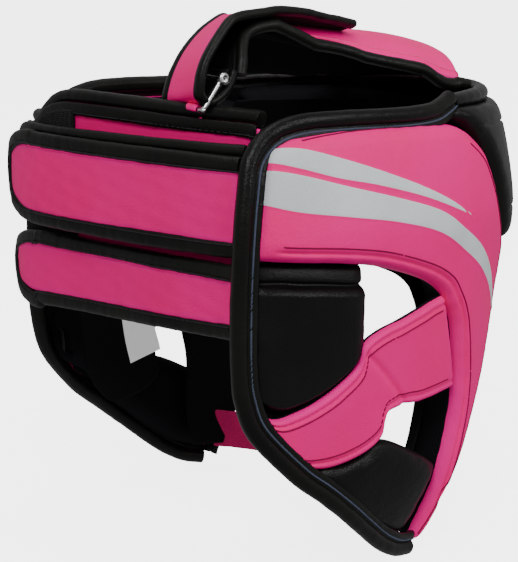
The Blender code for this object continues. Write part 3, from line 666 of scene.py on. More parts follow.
liningShape = sheet(0.0015, 0.002, 0.0006)
liningOut = -0.0226  # behind the foam
seamPaths = []
for label, side in sides:
    face, normal, turn, height = rungGrid(sidePanel["rungs"], sidePanel["columns"], sidePanel["rows"], 0,
                                          side)
    upper, lower = runLengths(face, 1)
    start, tip = runLengths(face, 0)
    stripe = stripeDistance(turn, height)
    relief = crumple(face, np.minimum(upper, lower), 0.00045, 0.00022, 11)
    seam = sidePanel["seamAt"], sidePanel["seamWidth"], sidePanel["seamDepth"]
    relief += groove(lower, *seam) * softStep(start, *sidePanel["lowerSeamFrom"])
    relief += groove(upper, *seam) * softStep(start, *sidePanel["upperSeamFrom"])
    foldAt = upper + sidePanel["foldSlope"] * start
    foldShare = softStep(start, *sidePanel["foldFrom"]) * (1 - softStep(start, *sidePanel["foldTo"]))
    relief += groove(foldAt, sidePanel["foldAt"], 0.0010, 0.0010) * foldShare
    relief += sidePanel["stripeRaise"] * softStep(stripe, -0.0001, 0.0002)
    panel, outer = padShell("side_panel_skin_" + label, face, normal, sidePanel["shape"],
                            ("striped", "lining"), relief, 0.0, {"stripe": stripe})
    dressed(panel, ["side_panel_" + label])
    for distance, first in ((lower, 0.010), (upper, 0.115)):
        keep = (start[:, 0] > first) & (tip[:, 0] > 0.006)
        seamPaths.append(lineAt(outer, normal, distance, sidePanel["seamAt"] + sidePanel["threadBeyond"],
                                keep))
    keep = (start[:, 0] > sidePanel["foldStitches"][0]) & (start[:, 0] < sidePanel["foldStitches"][1])
    seamPaths.append(lineAt(outer, normal, foldAt, sidePanel["foldAt"] + sidePanel["foldThreadBeyond"], keep))

    reachBack = np.interp(np.arange(len(sidePanel["rungs"])), *liningReach[label])
    liningRungs = np.array(sidePanel["rungs"]) + reachBack[:, None] * np.array([0, 0, 1.0, 0])
    liningRungs[-1, [1, 3]] += 0.022  # its lowest end stops short of the panel's
    face, normal, turn, height = rungGrid(liningRungs, 120, 50, liningOut, side, 0.3, (0.04, 1.0))
    lining, outer = padShell("side_lining_cloth_" + label, face, normal, liningShape, ("lining",),
                             0.0, -0.0002 * ripple(face, 0.03, 5))
    dressed(lining, ["side_lining_" + label])
sewn("panel_stitches", seamPaths, panelThread, "wineThread")
print("side panels")

forehead = {
    "rungs": (
        (43.0, 0.655), (44.6, 0.700), (48.1, 0.770), (50.4, 0.840), (53.3, 0.896), (57.5, 0.932),
        (61.0, 0.955), (60.0, 0.976),
    ),
    "seam": (0.016, 0.0009, 0.0012),  # from the edges, width and depth
    "shape": foam(0.022, 0.0036),
}
frontRungs = [(turn, height, -turn, height) for turn, height in forehead["rungs"]]
face, normal, turn, height = rungGrid(frontRungs, 90, 150, 0, 1, 0.2)
ends = np.minimum(*runLengths(face, 1))
levels = np.minimum(*runLengths(face, 0))
relief = crumple(face, np.minimum(ends, levels), 0.0005, 0.0003, 21)
relief += groove(levels, *forehead["seam"]) * softStep(ends, 0.0, 0.02)
piece, outer = padShell("forehead_skin", face, normal, forehead["shape"], ("black", "lining"), relief)
dressed(piece, ["forehead_pad"])
swollen(piece, swelling)
face, normal, turn, height = rungGrid(frontRungs, 50, 90, liningOut - 0.0006, 1, 0.2, (-0.05, 1.05))
piece, outer = padShell("forehead_lining_cloth", face, normal,
                        liningShape, ("lining",), 0.0, -0.0004 * ripple(face, 0.02, 6))
dressed(piece, ["forehead_lining"])
# the tape over the seam between the forehead and each side panel, on the inside
tape = {
    "out": -0.0100, "inset": 0.4, "reach": 0.012,
    "roll": {"tall": 0.0008, "wide": 0.0062, "pucker": 0.0, "square": 0.7, "sides": 12},
}
for label, side in sides:
    line = lineThrough(forehead["rungs"], 60)
    points, outward = onForm(line[:, 0] + tape["inset"], line[:, 1] + tape["reach"] * line[:, 1] ** 8,
                             np.full(len(line), tape["out"]), side)
    dressed(rolledEdge("seam_tape_" + label, points, outward, tape["roll"], "lining"))
print("forehead")

earPad = {
    "rungs": (
        # turn and height of the head, turn and height of the foot
        (130.4, 0.706, 130.2, 0.365), (124.0, 0.703, 123.5, 0.340), (118.0, 0.696, 118.0, 0.345),
        (112.0, 0.690, 112.0, 0.362), (105.5, 0.682, 105.5, 0.390), (98.8, 0.676, 98.8, 0.430),
    ),
    "shape": foam(0.016, 0.0028),
    "recess": -0.003,
    "stripHeight": 0.0085, "stripDepth": 0.0030,  # the lower strip along its head
    "tuck": 0.0120, "tuckDepth": 0.0062,  # where its foot dips under the band
}
earBand = {
    "rungs": (
        (128.2, 0.398, 120.8, 0.296), (123.7, 0.385, 115.5, 0.269), (114.7, 0.408, 108.6, 0.262),
        (108.0, 0.436, 99.5, 0.276), (102.2, 0.470, 93.5, 0.300), (100.0, 0.512, 92.2, 0.334),
        (95.0, 0.534, 90.6, 0.354), (88.0, 0.548, 85.0, 0.360), (81.5, 0.562, 79.0, 0.358),
        (76.0, 0.574, 72.0, 0.362), (71.3, 0.580, 64.6, 0.366),
    ),
    "shape": {"padding": 0.006, "thinEdge": 0.7, "pinch": 0.003, "drop": 0.001, "edgeRound": 0.0017},
    "recess": -0.003, "seam": (0.0036, 0.0007, 0.0008), "threadAt": 0.0058,
    "foldAt": 0.062, "foldMiddle": 0.010, "foldSlant": 0.35,  # the crease where the band turns up
}
earCloth = {
    "rungs": (
        (132.0, 0.480, 127.2, 0.346), (125.0, 0.470, 121.3, 0.268), (117.0, 0.475, 114.3, 0.215),
        (109.0, 0.492, 106.5, 0.215), (103.0, 0.505, 98.5, 0.235), (99.5, 0.505, 94.5, 0.262),
    ),
    "depth": 0.0198, "rearDepth": 0.0060, "rearRise": 0.010,
    "shape": sheet(0.0012, 0.002, 0.0004),
}
jawPad = {
    "rungs": (
        (111.5, 0.262, 116.1, 0.257), (105.0, 0.262, 110.1, 0.209), (98.5, 0.272, 103.1, 0.157),
        (91.0, 0.288, 95.6, 0.107), (78.0, 0.240, 87.3, 0.060), (66.8, 0.185, 77.3, 0.030),
    ),
    "shape": foam(0.014, 0.0024),
    "recess": -0.003,
}
bandPaths, darkPaths = [], []
for label, side in sides:
    face, normal, turn, height = rungGrid(earPad["rungs"], 80, 110, earPad["recess"], side, 0.4)
    top, foot = runLengths(face, 1)
    ends = np.minimum(*runLengths(face, 0))
    strip = earPad["stripHeight"]
    relief = crumple(face, np.minimum(ends, foot), 0.0006, 0.0003, 31)
    relief += groove(top, strip, 0.0010, 0.0016)
    relief -= earPad["stripDepth"] * (1 - softStep(top, strip - 0.0008, strip + 0.0045))
    tuck = earPad["tuck"]
    relief -= earPad["tuckDepth"] * (1 - softStep(foot, tuck - 0.0020, tuck + 0.0035))
    piece, outer = padShell("ear_pad_skin_" + label, face, normal, earPad["shape"],
                            ("black", "lining"), relief)
    dressed(piece, ["ear_pad_" + label])
    swollen(piece, swelling)

    # the cloth that closes the inside between the pad's foot and the band
    face, normal, turn, height = rungGrid(earCloth["rungs"], 60, 40, 0.0, side, 0.2)
    rise = softStep(runLengths(face, 0)[0], 0.0, earCloth["rearRise"])[..., None]
    face = face - normal * (earCloth["rearDepth"] + (earCloth["depth"] - earCloth["rearDepth"]) * rise)
    piece, outer = padShell("ear_cloth_" + label, face, normal, earCloth["shape"], ("lining",), 0.0, 0.0)
    dressed(piece)

    face, normal, turn, height = rungGrid(earBand["rungs"], 150, 44, earBand["recess"], side, 0.4)
    upper, lower = runLengths(face, 1)
    start, tip = runLengths(face, 0)
    relief = crumple(face, np.minimum(upper, lower), 0.0005, 0.00015, 41)
    relief += groove(upper, *earBand["seam"]) + groove(lower, *earBand["seam"])
    fold = np.abs(start - earBand["foldAt"] - (upper - earBand["foldMiddle"]) * earBand["foldSlant"])
    relief += groove(fold, 0, 0.0016, 0.0011) * softStep(upper, 0.001, 0.006)
    piece, outer = padShell("ear_band_skin_" + label, face, normal, earBand["shape"],
                            ("pink", "lining"), relief)
    dressed(piece, ["ear_band_" + label])
    keep = (start[:, 0] > 0.004) & (tip[:, 0] > 0.004)
    darkPaths.append(lineAt(outer, normal, upper, earBand["threadAt"], keep))
    bandPaths.append(lineAt(outer, normal, lower, earBand["threadAt"], keep))

    face, normal, turn, height = rungGrid(jawPad["rungs"], 90, 60, jawPad["recess"], side, 0.4)
    near = np.minimum(np.minimum(*runLengths(face, 1)), np.minimum(*runLengths(face, 0)))
    relief = crumple(face, near, 0.0006, 0.0003, 51)
    piece, outer = padShell("jaw_pad_skin_" + label, face, normal, jawPad["shape"],
                            ("black", "lining"), relief)
    dressed(piece, ["jaw_pad_" + label])
    swollen(piece, swelling)
sewn("band_stitches", bandPaths, panelThread, "wineThread")
sewn("band_dark_stitches", darkPaths, panelThread, "wineThread")
print("ears and jaws")

sideRoll = {
    "path": (
        (59.0, 0.994), (63.0, 0.984), (69.0, 0.973), (78.0, 0.970), (90.0, 0.972), (105.0, 0.975),
        (118.0, 0.973), (125.8, 0.954), (130.2, 0.910), (131.4, 0.840), (132.2, 0.740), (132.7, 0.620),
        (132.7, 0.500), (131.9, 0.430), (128.8, 0.356), (119.3, 0.260), (111.5, 0.204), (104.0, 0.148),
        (96.3, 0.092), (88.6, 0.044), (80.8, 0.012), (73.2, -0.002),
    ),
    "out": -0.0036, "tall": 0.0038, "wide": 0.0036, "square": 0.9,
    "weltShift": 0.0048, "weltOut": -0.0040, "topLift": {"right": 0.0, "left": 0.011},
    "strip": {"tall": 0.0017, "wide": 0.0030, "square": 0.8, "pucker": 0.06},
}
weltPaths = []
for label, side in sides:
    line = lineThrough(sideRoll["path"], 260)
    lifted = line[:, 1] + sideRoll["topLift"][label] * softStep(line[:, 1], 0.90, 0.96)
    points, outward = onForm(line[:, 0], lifted, np.full(len(line), sideRoll["out"]), side)
    bound("edge_roll_" + label, points, outward, sideRoll, "edge_binding_" + label)
    ahead, across, out = pathFrames(points, outward)
    inward = across * (-side)
    # the stitched welt lies on the panel's side of the roll
    welt = points + inward * sideRoll["weltShift"] + out * (sideRoll["weltOut"] - sideRoll["out"])
    bound("edge_welt_" + label, welt, outward, sideRoll["strip"])
    weltPaths.append((welt + out * sideRoll["strip"]["tall"], out))
sewn("welt_stitches", weltPaths, weltThread, "blueThread")

rim = {"path": (
        (0.0, 0.990), (20.0, 0.990), (40.0, 0.989), (57.6, 0.987),
    ), "out": -0.006, "tall": 0.0041, "wide": 0.0038}
right = lineThrough(rim["path"], 90)
line = np.concatenate([right[::-1] * (-1, 1), right[1:]])
points, outward = onForm(line[:, 0], line[:, 1], np.full(len(line), rim["out"]))
bound("forehead_rim_roll", points, outward, rim, "forehead_rim_binding")
print("rolled edges")


# upright pieces: a line in plan, drawn up between two heights
def planPath(table, length, start, heading, count):
    # rows of the table so far along the heading and so far inwards of it
    rows = lineThrough(table, count) * length
    along = np.array([math.cos(heading), math.sin(heading)])
    return start + rows[:, :1] * along + rows[:, 1:] * np.array([-along[1], along[0]])


def beside(path, distance):
    ahead = unit(np.gradient(path, axis=0))
    return path + np.stack([-ahead[:, 1], ahead[:, 0]], 1) * distance


def outwardOf(path):
    ahead = unit(np.gradient(path, axis=0))
    out = np.stack([ahead[:, 1], -ahead[:, 0]], 1)
    return np.stack([-out[:, 1], -out[:, 0], 0 * out[:, 0]], 1)


def wallGrid(path, low, high, rows, thickness, tip=0.0, slant=0.0, bunch=0.5, tipRun=None):
    # the outer face: the path moved out by the thickness, its heights shared out between foot and head,
    # with a quarter oval cut off both corners of the tip and the start's foot drawn back by the slant
    run = np.concatenate([[0], np.cumsum(np.linalg.norm(np.diff(path, axis=0), axis=1))])
    tipRun = tipRun or tip
    reach = np.clip(1 - (run[-1] - run) / max(tipRun, 1e-6), 0, 1)
    cut = tip * (1 - np.sqrt(1 - reach**2))
    share = spread(rows, bunch)[None, :]
    level = (low + cut)[:, None] + (high - low - 2 * cut)[:, None] * share
    outer = beside(path, -thickness)
    back = unit(outer[0] - outer[1]) * slant
    fade = np.maximum(1 - run / max(3 * slant, 1e-6), 0)[:, None] * (1 - share)
    plan = outer[:, None, :] + back * fade[..., None]
    face = inRow(np.concatenate([plan, level[..., None]], -1))
    normal = np.broadcast_to(outwardOf(path)[:, None], face.shape)
    return face, normal, run


def strapOutline(path, low, high, radius, out, tipRun=None):
    # along the head to the tip, round its two quarter ovals and back along the foot
    tipRun = tipRun or radius
    run = np.concatenate([[0], np.cumsum(np.linalg.norm(np.diff(path, axis=0), axis=1))])
    length = run[-1]
    straight = run < length - tipRun
    turn = np.radians(np.linspace(90, 0, 18))
    ovalRun = length - tipRun + (tipRun + out) * np.cos(turn)
    runs = np.concatenate([run[straight], ovalRun, ovalRun[::-1], run[straight][::-1]])
    rise = (radius + out) * np.sin(turn)
    levels = np.concatenate([high[straight] + out, high[-1] - radius + rise, low[-1] + radius - rise[::-1],
                             (low[straight] - out)[::-1]])
    last = (path[-1] - path[-2]) / (run[-1] - run[-2])
    beyond = np.maximum(runs - length, 0)[:, None]
    plan = np.stack([np.interp(runs, run, path[:, k]) for k in (0, 1)], 1) + beyond * last
    outward = outwardOf(path)
    outward = np.stack([np.interp(runs, run, outward[:, k]) for k in range(3)], 1)
    return inRow(np.concatenate([plan, levels[:, None]], 1)), unit(outward)


backWall = {
    "path": (
        (-0.046, 0.000), (0.00, 0.000), (0.20, -0.010), (0.40, -0.018), (0.60, -0.030), (0.75, -0.012),
        (0.86, 0.014), (0.92, 0.042),
    ),
    "top": (
        # share of the path, and height of the top over the wall's foot, a share of its height
        (0.00, 0.985), (0.30, 1.000), (0.62, 1.030), (0.76, 1.000), (0.88, 0.910), (1.00, 0.900),
    ),
    "length": 0.133, "start": (-0.042, 0.050), "heading": -106.0, "foot": 0.535, "height": 0.0866,
    "slant": 0.008, "roll": {"tall": 0.0036, "wide": 0.0034, "pucker": 0.07}, "rollRise": 0.0039,
    "shape": {"padding": 0.009, "thinEdge": 0.8, "pinch": 0.006, "drop": 0.001, "edgeRound": 0.0024},
    # the roll's flat strip on the wall, and its thread: out of the face and under the top
    "strip": {"tall": 0.0011, "wide": 0.0030, "square": 0.7, "pucker": 0.08},
    "stripAt": (0.0004, 0.0010), "threadAt": (0.0014, 0.0028),
}
wallPlaces = 150
backPath = planPath(backWall["path"], backWall["length"], backWall["start"],
                    math.radians(backWall["heading"]), wallPlaces)
wallFoot = form["height"] * backWall["foot"]
topLine = np.array(backWall["top"])
topShare = np.interp(np.linspace(0, 1, wallPlaces), *lineThrough(topLine, 60).T)
wallTop = wallFoot + backWall["height"] * topShare
padThick = backWall["shape"]["padding"]
face, normal, run = wallGrid(backPath, wallFoot + 0 * wallTop, wallTop, 60, padThick, 0.0, backWall["slant"])
upper = runLengths(face, 1)[1]
relief = crumple(face, upper, 0.0005, 0.0003, 61)
piece, outer = padShell("back_wall_skin", face, normal, backWall["shape"], ("pink", "lining"), relief)
dressed(piece, ["back_panel"])


def alongTop(out, under):
    # the line so far out of the wall's face and so far under its top
    return inRow(np.concatenate([beside(backPath, -padThick - out), (wallTop - under)[:, None]], 1))


edge = alongTop(-padThick / 2, -backWall["rollRise"])
bound("back_roll", edge, outwardOf(backPath), backWall["roll"], "back_binding")
edge = alongTop(*backWall["stripAt"])
bound("back_roll_strip", edge, outwardOf(backPath), backWall["strip"])
backStitches = [(alongTop(*backWall["threadAt"]), outwardOf(backPath))]

loopPatch = {"from": 93, "gap": 0.0003, "topMargin": 0.0012, "footMargin": 0.006, "thick": 0.0015,
             "pile": 0.00015}
patchPath = beside(backPath, -padThick - loopPatch["gap"])[loopPatch["from"] :]
patchTop = wallTop[loopPatch["from"] :] - loopPatch["topMargin"]
patchFoot = 0 * patchTop + wallFoot + loopPatch["footMargin"]
face, normal, run = wallGrid(patchPath, patchFoot, patchTop, 60, loopPatch["thick"])
piece, outer = padShell("loop_pile", face, normal, sheet(loopPatch["thick"], 0.001, 0.0005), ("loops",),
                        loopPatch["pile"] * ripple(face, 0.0015, 8))
dressed(piece, ["loop_patch"])
print("back wall")

rearStraps = {
    "path": (
        (0.00, 0.000), (0.10, -0.020), (0.30, -0.034), (0.50, -0.036), (0.70, -0.030), (0.85, -0.012),
        (0.95, 0.018), (1.00, 0.050),
    ),
    "levels": (
        # heights of foot and head at the start and at the tip, where it starts, and the tip's rounding
        ("rear_strap_upper", 0.735, 0.880, 0.740, 0.890, 0.000, 0.000, 0.0150),
        ("rear_strap_lower", 0.574, 0.668, 0.533, 0.656, 0.035, 0.071, 0.0122),
    ),
    "length": 0.1395, "start": (-0.0649, 0.0700), "heading": -102.4, "tipRun": 0.024, "thick": 0.0035,
    "rollOut": 0.0022, "threadOut": 0.0046,
    "roll": {"tall": 0.0027, "wide": 0.0036, "pucker": 0.06, "square": 0.85},
    "shape": {"padding": 0.0035, "thinEdge": 0.9, "pinch": 0.003, "drop": 0.0003, "edgeRound": 0.0012},
}
strapHeading = math.radians(rearStraps["heading"])
for name, foot, head, tipFoot, tipHead, further, closer, tipRound in rearStraps["levels"]:
    rows = [(along * (1 + 0.85 * closer), depth + closer * min(along / 0.6, 1)) for along,
            depth in rearStraps["path"]]
    rows[0] = (-further, -0.70 * further)
    path = planPath(rows, rearStraps["length"], rearStraps["start"], strapHeading, wallPlaces)
    reach = np.linspace(0, 1, len(path))
    low = form["height"] * (foot + (tipFoot - foot) * reach)
    high = form["height"] * (head + (tipHead - head) * reach)
    face, normal, run = wallGrid(path, low, high, 40, rearStraps["thick"], tipRound, 0.0, 0.5,
                                 rearStraps["tipRun"])
    relief = 0.0003 * ripple(face, 0.04, 71) + 0.00012 * ripple(face, 0.008, 72)
    piece, outer = padShell(name + "_skin", face, normal, rearStraps["shape"], ("pink", "loops"), relief)
    dressed(piece, [name])
    middle = beside(path, -rearStraps["thick"] / 2)
    points, outward = strapOutline(middle, low, high, tipRound, rearStraps["rollOut"], rearStraps["tipRun"])
    bound(name + "_roll", points, outward, rearStraps["roll"], name + "_binding")
    threadLine = beside(path, -rearStraps["threadOut"])
    backStitches.append(strapOutline(threadLine, low, high, tipRound, 0.0, rearStraps["tipRun"]))

# the bound layer under the upper strap
rearFlap = {
    "inside": 0.0042, "foot": 0.745, "head": 0.905, "round": 0.012, "rollOut": 0.0020,
    "shape": {"padding": 0.0025, "thinEdge": 0.9, "pinch": 0.002, "drop": 0.0, "edgeRound": 0.0010},
    "roll": {"tall": 0.0023, "wide": 0.0028, "pucker": 0.06},
}
flapPath = planPath(rearStraps["path"], rearStraps["length"], rearStraps["start"], strapHeading, wallPlaces)
flapPath = beside(flapPath, rearFlap["inside"])
low = np.full(wallPlaces, form["height"] * rearFlap["foot"])
high = np.full(wallPlaces, form["height"] * rearFlap["head"])
flapThick = rearFlap["shape"]["padding"]
face, normal, run = wallGrid(flapPath, low, high, 40, flapThick, rearFlap["round"])
piece, outer = padShell("rear_flap_skin", face, normal, rearFlap["shape"], ("black", "lining"),
                        0.0002 * ripple(face, 0.03, 75))
dressed(piece, ["rear_flap"])
points, outward = strapOutline(beside(flapPath, -flapThick / 2), low, high, rearFlap["round"],
                               rearFlap["rollOut"])
bound("rear_flap_roll", points, outward, rearFlap["roll"], "rear_flap_binding")
sewn("back_stitches", backStitches, edgeThread, "darkThread")
print("rear straps")

crown = {
    "length": 0.165, "rise": 0.040, "half": 0.040, "edgeStep": 0.0037,
    "line": (
        # forward, a share of the length; height of the crest, how far the edges drop, a share of the rise;
        # half width, and how far the middle leans right, shares of half; how far the edges bow back
        (0.620, -0.050, 0.00, 0.98, 0.00, 0.052), (0.655, 0.260, 0.24, 0.98, 0.00, 0.110),
        (0.630, 0.360, 0.33, 0.97, 0.00, 0.105), (0.560, 0.440, 0.36, 0.95, 0.00, 0.085),
        (0.450, 0.525, 0.29, 0.90, 0.00, 0.050), (0.300, 0.605, 0.18, 0.80, 0.01, 0.020),
        (0.160, 0.680, 0.09, 0.68, 0.03, 0.000), (0.050, 0.730, 0.05, 0.58, 0.06, 0.000),
        (-0.060, 0.745, 0.02, 0.50, 0.10, 0.000), (-0.130, 0.725, 0.01, 0.44, 0.15, 0.000),
        (-0.180, 0.640, 0.00, 0.38, 0.22, 0.000), (-0.205, 0.520, 0.00, 0.34, 0.32, 0.000),
        (-0.222, 0.370, 0.00, 0.32, 0.42, 0.000), (-0.234, 0.220, 0.00, 0.31, 0.47, 0.000),
    ),
    # how far the left edge hangs lower than the right one, a share of the rise, by the row's forward share
    "hang": ((-0.25, -0.22, -0.18, -0.13, -0.06, 0.05, 0.16, 0.30, 0.45, 0.56, 0.63, 0.66),
             (0.0, 0.15, 0.38, 0.52, 0.56, 0.56, 0.50, 0.38, 0.20, 0.08, 0.03, 0.0)),
    "sag": ((-0.08, 0.05, 0.22, 0.30, 0.46), (0.0, 0.14, 0.14, 0.10, 0.0)),  # the same for the right edge
    "loopsTo": -0.005,  # the loop area for the strap's end ends here
    "shape": {"padding": 0.007, "thinEdge": 0.5, "pinch": 0.009, "drop": 0.0, "edgeRound": 0.0017},
    "roll": {"tall": 0.0028, "wide": 0.0030, "pucker": 0.06},
    "threadAt": 0.0062, "stitchRows": (8, 110),
}
lines = roundedLine(crown["line"], spread(170, 0.1))
flapColumns = 60
flapAcross = (2 * spread(flapColumns, 0.4) - 1)[None, :]
forward, crest, drop, half, lean, bow = (lines[:, k : k + 1] for k in range(6))
hang = np.interp(forward, *crown["hang"])
sag = np.interp(forward, *crown["sag"])


def crownPlace(c):
    # forward less the row's bow times c squared; height the crest less the edge drop times c squared, less
    # the hang on the left side and the sag on the right side, each times the 1.4th power of c
    lower = drop * c * c + hang * np.maximum(-c, 0) ** 1.4 + sag * np.maximum(c, 0) ** 1.4
    places = [crown["length"] * (forward - bow * c * c), crown["half"] * (lean + half * c),
              form["height"] + crown["rise"] * (crest - lower)]
    return inRow(np.stack(np.broadcast_arrays(*places), -1))


face = crownPlace(flapAcross)
normal = gridNormals(face)
near = np.minimum(*runLengths(face, 1))
relief = crumple(face, near, 0.0005, 0.0003, 81) + groove(near, 0.0035, 0.0007, 0.0005)
piece, outer = padShell("crown_flap_skin", face, normal, crown["shape"], ("pink", "lining"), relief)
flapFace = outer
piece.data.materials.append(finishes["loops"])
centres = np.zeros(len(piece.data.polygons) * 3)
piece.data.polygons.foreach_get("center", centres)
marks = np.zeros(len(piece.data.polygons), np.int32)
piece.data.polygons.foreach_get("material_index", marks)
marks[(marks == 0) & (form["seatForward"] - centres[1::3] < crown["loopsTo"])] = 2
piece.data.polygons.foreach_set("material_index", marks)
dressed(piece, ["crown_flap"])
flapStitches = []
for label, edge in (("left", -1), ("right", 1)):
    points = crownPlace(edge * (1 + crown["edgeStep"] / (half * crown["half"])))[:, 0]
    column = 0 if edge < 0 else -1
    bound("crown_flap_roll_" + label, points, normal[:, column], crown["roll"],
          "crown_flap_binding_" + label)
    columns = slice(0, flapColumns // 2) if edge < 0 else slice(flapColumns // 2, flapColumns)
    row = np.arange(len(face))
    keep = (row >= crown["stitchRows"][0]) & (row < crown["stitchRows"][1])
    flapStitches.append(lineAt(flapFace[:, columns], normal[:, columns], near[:, columns],
                               crown["threadAt"], keep))
sewn("crown_flap_stitches", flapStitches, edgeThread, "pinkThread")

crownStrap = {
    # forward, right and height over the rim of the right edge, then of the left edge, in millimetres
    "edges": (
        (-40.5, 31.0, 11.0, -36.3, 5.6, 11.0),
        (-43.5, 31.0, 5.0, -39.3, 5.6, 4.5),
        (-48.0, 31.0, 0.6, -43.8, 5.6, -0.5),
        (-54.0, 31.0, -1.6, -49.8, 5.6, -3.2),
        (-58.4, 31.0, 1.6, -54.4, 5.6, -2.7),
        (-57.9, 31.0, 8.1, -52.9, 5.6, 4.1),
        (-55.4, 30.6, 14.5, -49.3, 5.2, 10.8),
        (-51.2, 30.0, 20.1, -44.0, 4.6, 17.4),
        (-45.1, 29.0, 26.4, -36.4, 3.6, 23.9),
        (-38.8, 28.0, 31.5, -28.7, 2.6, 28.5),
        (-31.4, 27.0, 33.4, -20.7, 1.6, 31.3),
        (-21.5, 26.0, 33.6, -21.5, 0.6, 26.1),
        (-10.6, 24.7, 34.2, -10.6, -0.7, 26.7),
        (6.6, 21.5, 32.6, 6.6, -3.9, 25.1),
        (18.8, 19.5, 30.2, 18.8, -5.9, 22.7),
        (31.0, 17.5, 28.2, 31.0, -7.9, 20.7),
        (41.3, 15.9, 26.1, 41.3, -9.5, 18.6),
    ),
    "thick": 0.0026, "rollOut": 0.0022,
    "roll": {"tall": 0.0021, "wide": 0.0030, "pucker": 0.05, "square": 0.85},
    "shape": {"padding": 0.0026, "thinEdge": 0.9, "pinch": 0.002, "drop": 0.0, "edgeRound": 0.0008,
              "keepRound": False},
}
lines = lineThrough(crownStrap["edges"], 240) / 1000
nearEdge, farEdge = lines[:, :3], lines[:, 3:]
share = spread(24, 0.3)[None, :, None]
middleFace = nearEdge[:, None] * share + farEdge[:, None] * (1 - share) + np.array([0, 0, form["height"]])
ahead = np.gradient(middleFace, axis=0)
across = middleFace[:, -1:] - middleFace[:, :1]
outside = unit(np.cross(across, ahead))
outside = outside if outside[-60:, :, 2].mean() > 0 else -outside
normal = np.stack([-outside[..., 1], -outside[..., 0], outside[..., 2]], -1)
face = inRow(middleFace + outside * crownStrap["thick"] / 2)
piece, outer = padShell("crown_strap_skin", face, normal, crownStrap["shape"], ("pink", "loops"),
                        0.0001 * ripple(face, 0.02, 91))
dressed(piece, ["crown_strap"])
for label, column, beyond in (("left", 0, -crownStrap["rollOut"]), ("right", -1, crownStrap["rollOut"])):
    points = inRow(middleFace[:, column] + unit(across[:, 0]) * beyond)
    bound("crown_strap_roll_" + label, points, normal[:, column], crownStrap["roll"],
          "crown_strap_binding_" + label)
print("crown flap and strap")

ring = {
    # forward and height over the rim of the lower and the upper bar, and the middle and half width
    "lower": (-0.0558, -0.0045), "upper": (-0.0460, 0.0080), "middle": 0.0175, "half": 0.0178, "wire": 0.0011,
    "skew": -0.156,
    "outline": (
        # across and up: shares of the half width and of the way from the lower to the upper bar
        (-0.84, 0.00), (0.84, 0.00), (0.96, 0.05), (1.00, 0.16), (1.00, 0.86), (0.96, 0.96), (0.84, 1.00),
        (-0.84, 1.00), (-0.96, 0.96), (-1.00, 0.86), (-1.00, 0.16), (-0.96, 0.05), (-0.84, 0.00),
    ),
    "curl": 0.0015, "curlPitch": 0.0012, "curlBeyond": 0.0008,
}


def byRing(across, up, beyond=0.0, raised=0.0):
    lower, upper = np.array(ring["lower"]), np.array(ring["upper"])
    places = [lower[0] + (upper[0] - lower[0]) * up + beyond + ring["skew"] * across, ring["middle"] + across,
              form["height"] + lower[1] + (upper[1] - lower[1]) * up + raised]
    return inRow(np.stack(np.broadcast_arrays(*places), -1))


wire = lineThrough(ring["outline"], 260)
points = byRing(ring["half"] * wire[:, 0], wire[:, 1])
outward = unit(points - points.mean(0))
wireRoll = {"tall": ring["wire"], "wide": ring["wire"], "pucker": 0.0, "sides": 16, "spacing": 0.0004}
dressed(rolledEdge("ring_wire", points, outward, wireRoll, "steel", True), ["strap_ring"])
# the wire's end, curled at the upper corner: one turn and a quarter
turn = np.linspace(-0.5 * math.pi, 2.0 * math.pi, 60)
curlAt = byRing(np.array(ring["half"] + ring["curlBeyond"]), np.array(1.04))
legWay = unit(byRing(np.array(0.0), np.array(1.0)) - byRing(np.array(0.0), np.array(0.0)))
sideWay = unit(byRing(np.array(1.0), np.array(0.0)) - byRing(np.array(0.0), np.array(0.0)))
thirdWay = np.cross(legWay, sideWay)
curl = (curlAt + ring["curl"] * (np.cos(turn)[:, None] * thirdWay + np.sin(turn)[:, None] * legWay)
        + sideWay * np.linspace(0, ring["curlPitch"], 60)[:, None])
dressed(rolledEdge("ring_curl", curl, unit(curl - curlAt) + sideWay * 0.01, wireRoll, "steel"))

# the tab that holds the ring: over the lower bar and down
tabLook = {"half": 0.0140, "thick": 0.0012, "lift": 0.0004, "drop": 0.012, "round": 0.0019}
turn = np.radians(np.linspace(200, -20, 40))
curve = np.concatenate([
    np.stack([tabLook["round"] * np.cos(turn), tabLook["round"] * np.sin(turn)], 1),
    np.stack([np.full(30, tabLook["round"]), np.linspace(-tabLook["drop"] * 0.2, -tabLook["drop"], 30)], 1)])
curve = evenPath(curve, 0.0004)[0]
across = (2 * spread(20, 0.2) - 1)[None, :] * tabLook["half"]
face = byRing(across, np.array(0.0), curve[:, :1] + 0 * across, curve[:, 1:] + 0 * across)
normal = gridNormals(face, tuple(byRing(np.array(0.0), np.array(0.0))))
piece, outer = padShell("ring_tab_skin", face + normal * tabLook["lift"], normal,
                        sheet(tabLook["thick"], 0.001, 0.0005), ("pink",))
dressed(piece, ["ring_tab"])

careLabel = {
    "rungs": ((98.0, 0.512, 111.0, 0.500), (96.0, 0.392, 109.5, 0.377), (94.0, 0.322, 107.5, 0.302)),
    "out": -0.0224,
}
face, normal, turn, height = rungGrid(careLabel["rungs"], 40, 40, careLabel["out"], -1, 0.0, (0.04, 0.96))
piece, outer = padShell("label_cloth_piece", face, normal, sheet(0.0008, 0.001, 0.0003), ("label",),
                        0.0, 0.0003 * ripple(face, 0.02, 95))
dressed(piece, ["care_label"])

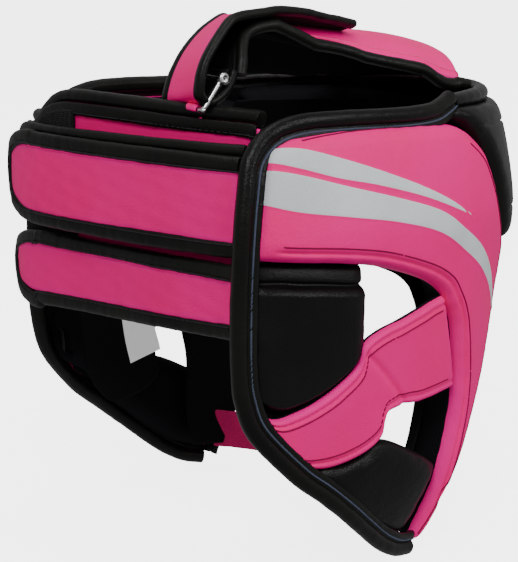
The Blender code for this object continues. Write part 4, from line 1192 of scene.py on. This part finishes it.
chin = {
    "forward": 0.031, "bow": 0.019, "half": 0.0592, "level": 0.048, "width": 0.020, "thick": 0.003,
    "reach": 1.15,  # its ends reach into the columns
    "shape": {"padding": 0.003, "thinEdge": 0.7, "pinch": 0.002, "drop": 0.0, "edgeRound": 0.0009},
}
share = np.linspace(-chin["reach"], chin["reach"], 120)
path = np.stack([chin["forward"] + chin["bow"] * (1 - share**2), chin["half"] * share], 1)
low = np.full(len(share), form["height"] * chin["level"])
face, normal, run = wallGrid(path[::-1], low, low + chin["width"], 30, chin["thick"])
piece, outer = padShell("chin_webbing", face, normal, chin["shape"], ("web",),
                        0.0002 * ripple(face, 0.01, 97))
dressed(piece, ["chin_strap"])
print("ring, tab, label and chin strap")

# floor, lights and camera
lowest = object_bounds()[0][2]
bpy.ops.mesh.primitive_plane_add(size=12, location=(0, 0, lowest - 0.0005))
floor = bpy.context.object
floor.name = "floor"
finish, tree, shader = newFinish("floorPaper")
shader.inputs["Base Color"].default_value = (0.86, 0.86, 0.86, 1)
shader.inputs["Roughness"].default_value = 0.9
shader.inputs["Emission Color"].default_value = (1, 1, 1, 1)
shader.inputs["Emission Strength"].default_value = 4.0
floor.visible_diffuse = False
floor.visible_glossy = False
floor.data.materials.append(finish)

world = bpy.data.worlds.new("paleRoom")
bpy.context.scene.world = world
world.use_nodes = True
world.node_tree.nodes["Background"].inputs["Color"].default_value = (1.0, 1.0, 1.0, 1)
world.node_tree.nodes["Background"].inputs["Strength"].default_value = 0.42

studio = {
    # place, size, power
    "key": ((-0.9, 1.0, 1.2), 0.7, 17.0),
    "front": ((-1.3, -0.5, 0.7), 0.6, 9.0),
    "top": ((0.1, 0.2, 1.5), 0.8, 7.0),
}
aim = Vector((0, 0.010, -0.1140))
for name, (place, size, power) in studio.items():
    light = bpy.data.lights.new(name, "AREA")
    light.size = size
    light.energy = power
    lamp = bpy.data.objects.new(name, light)
    lamp.location = place
    lamp.rotation_euler = (aim - Vector(place)).to_track_quat("-Z", "Y").to_euler()
    bpy.context.scene.collection.objects.link(lamp)

view = {"azimuth": 231.0, "elevation": 13.0, "distance": 0.700, "lens": 95.06}
lens = bpy.data.cameras.new("camera")
lens.lens = view["lens"]
lens.clip_start = 0.01
camera = bpy.data.objects.new("camera", lens)
azimuth, elevation = math.radians(view["azimuth"]), math.radians(view["elevation"])
away = Vector((math.sin(azimuth) * math.cos(elevation), -math.cos(azimuth) * math.cos(elevation),
               math.sin(elevation)))
camera.location = aim + away * view["distance"]
camera.rotation_euler = (-away).to_track_quat("-Z", "Y").to_euler()
bpy.context.scene.collection.objects.link(camera)
bpy.context.scene.camera = camera

print("done")
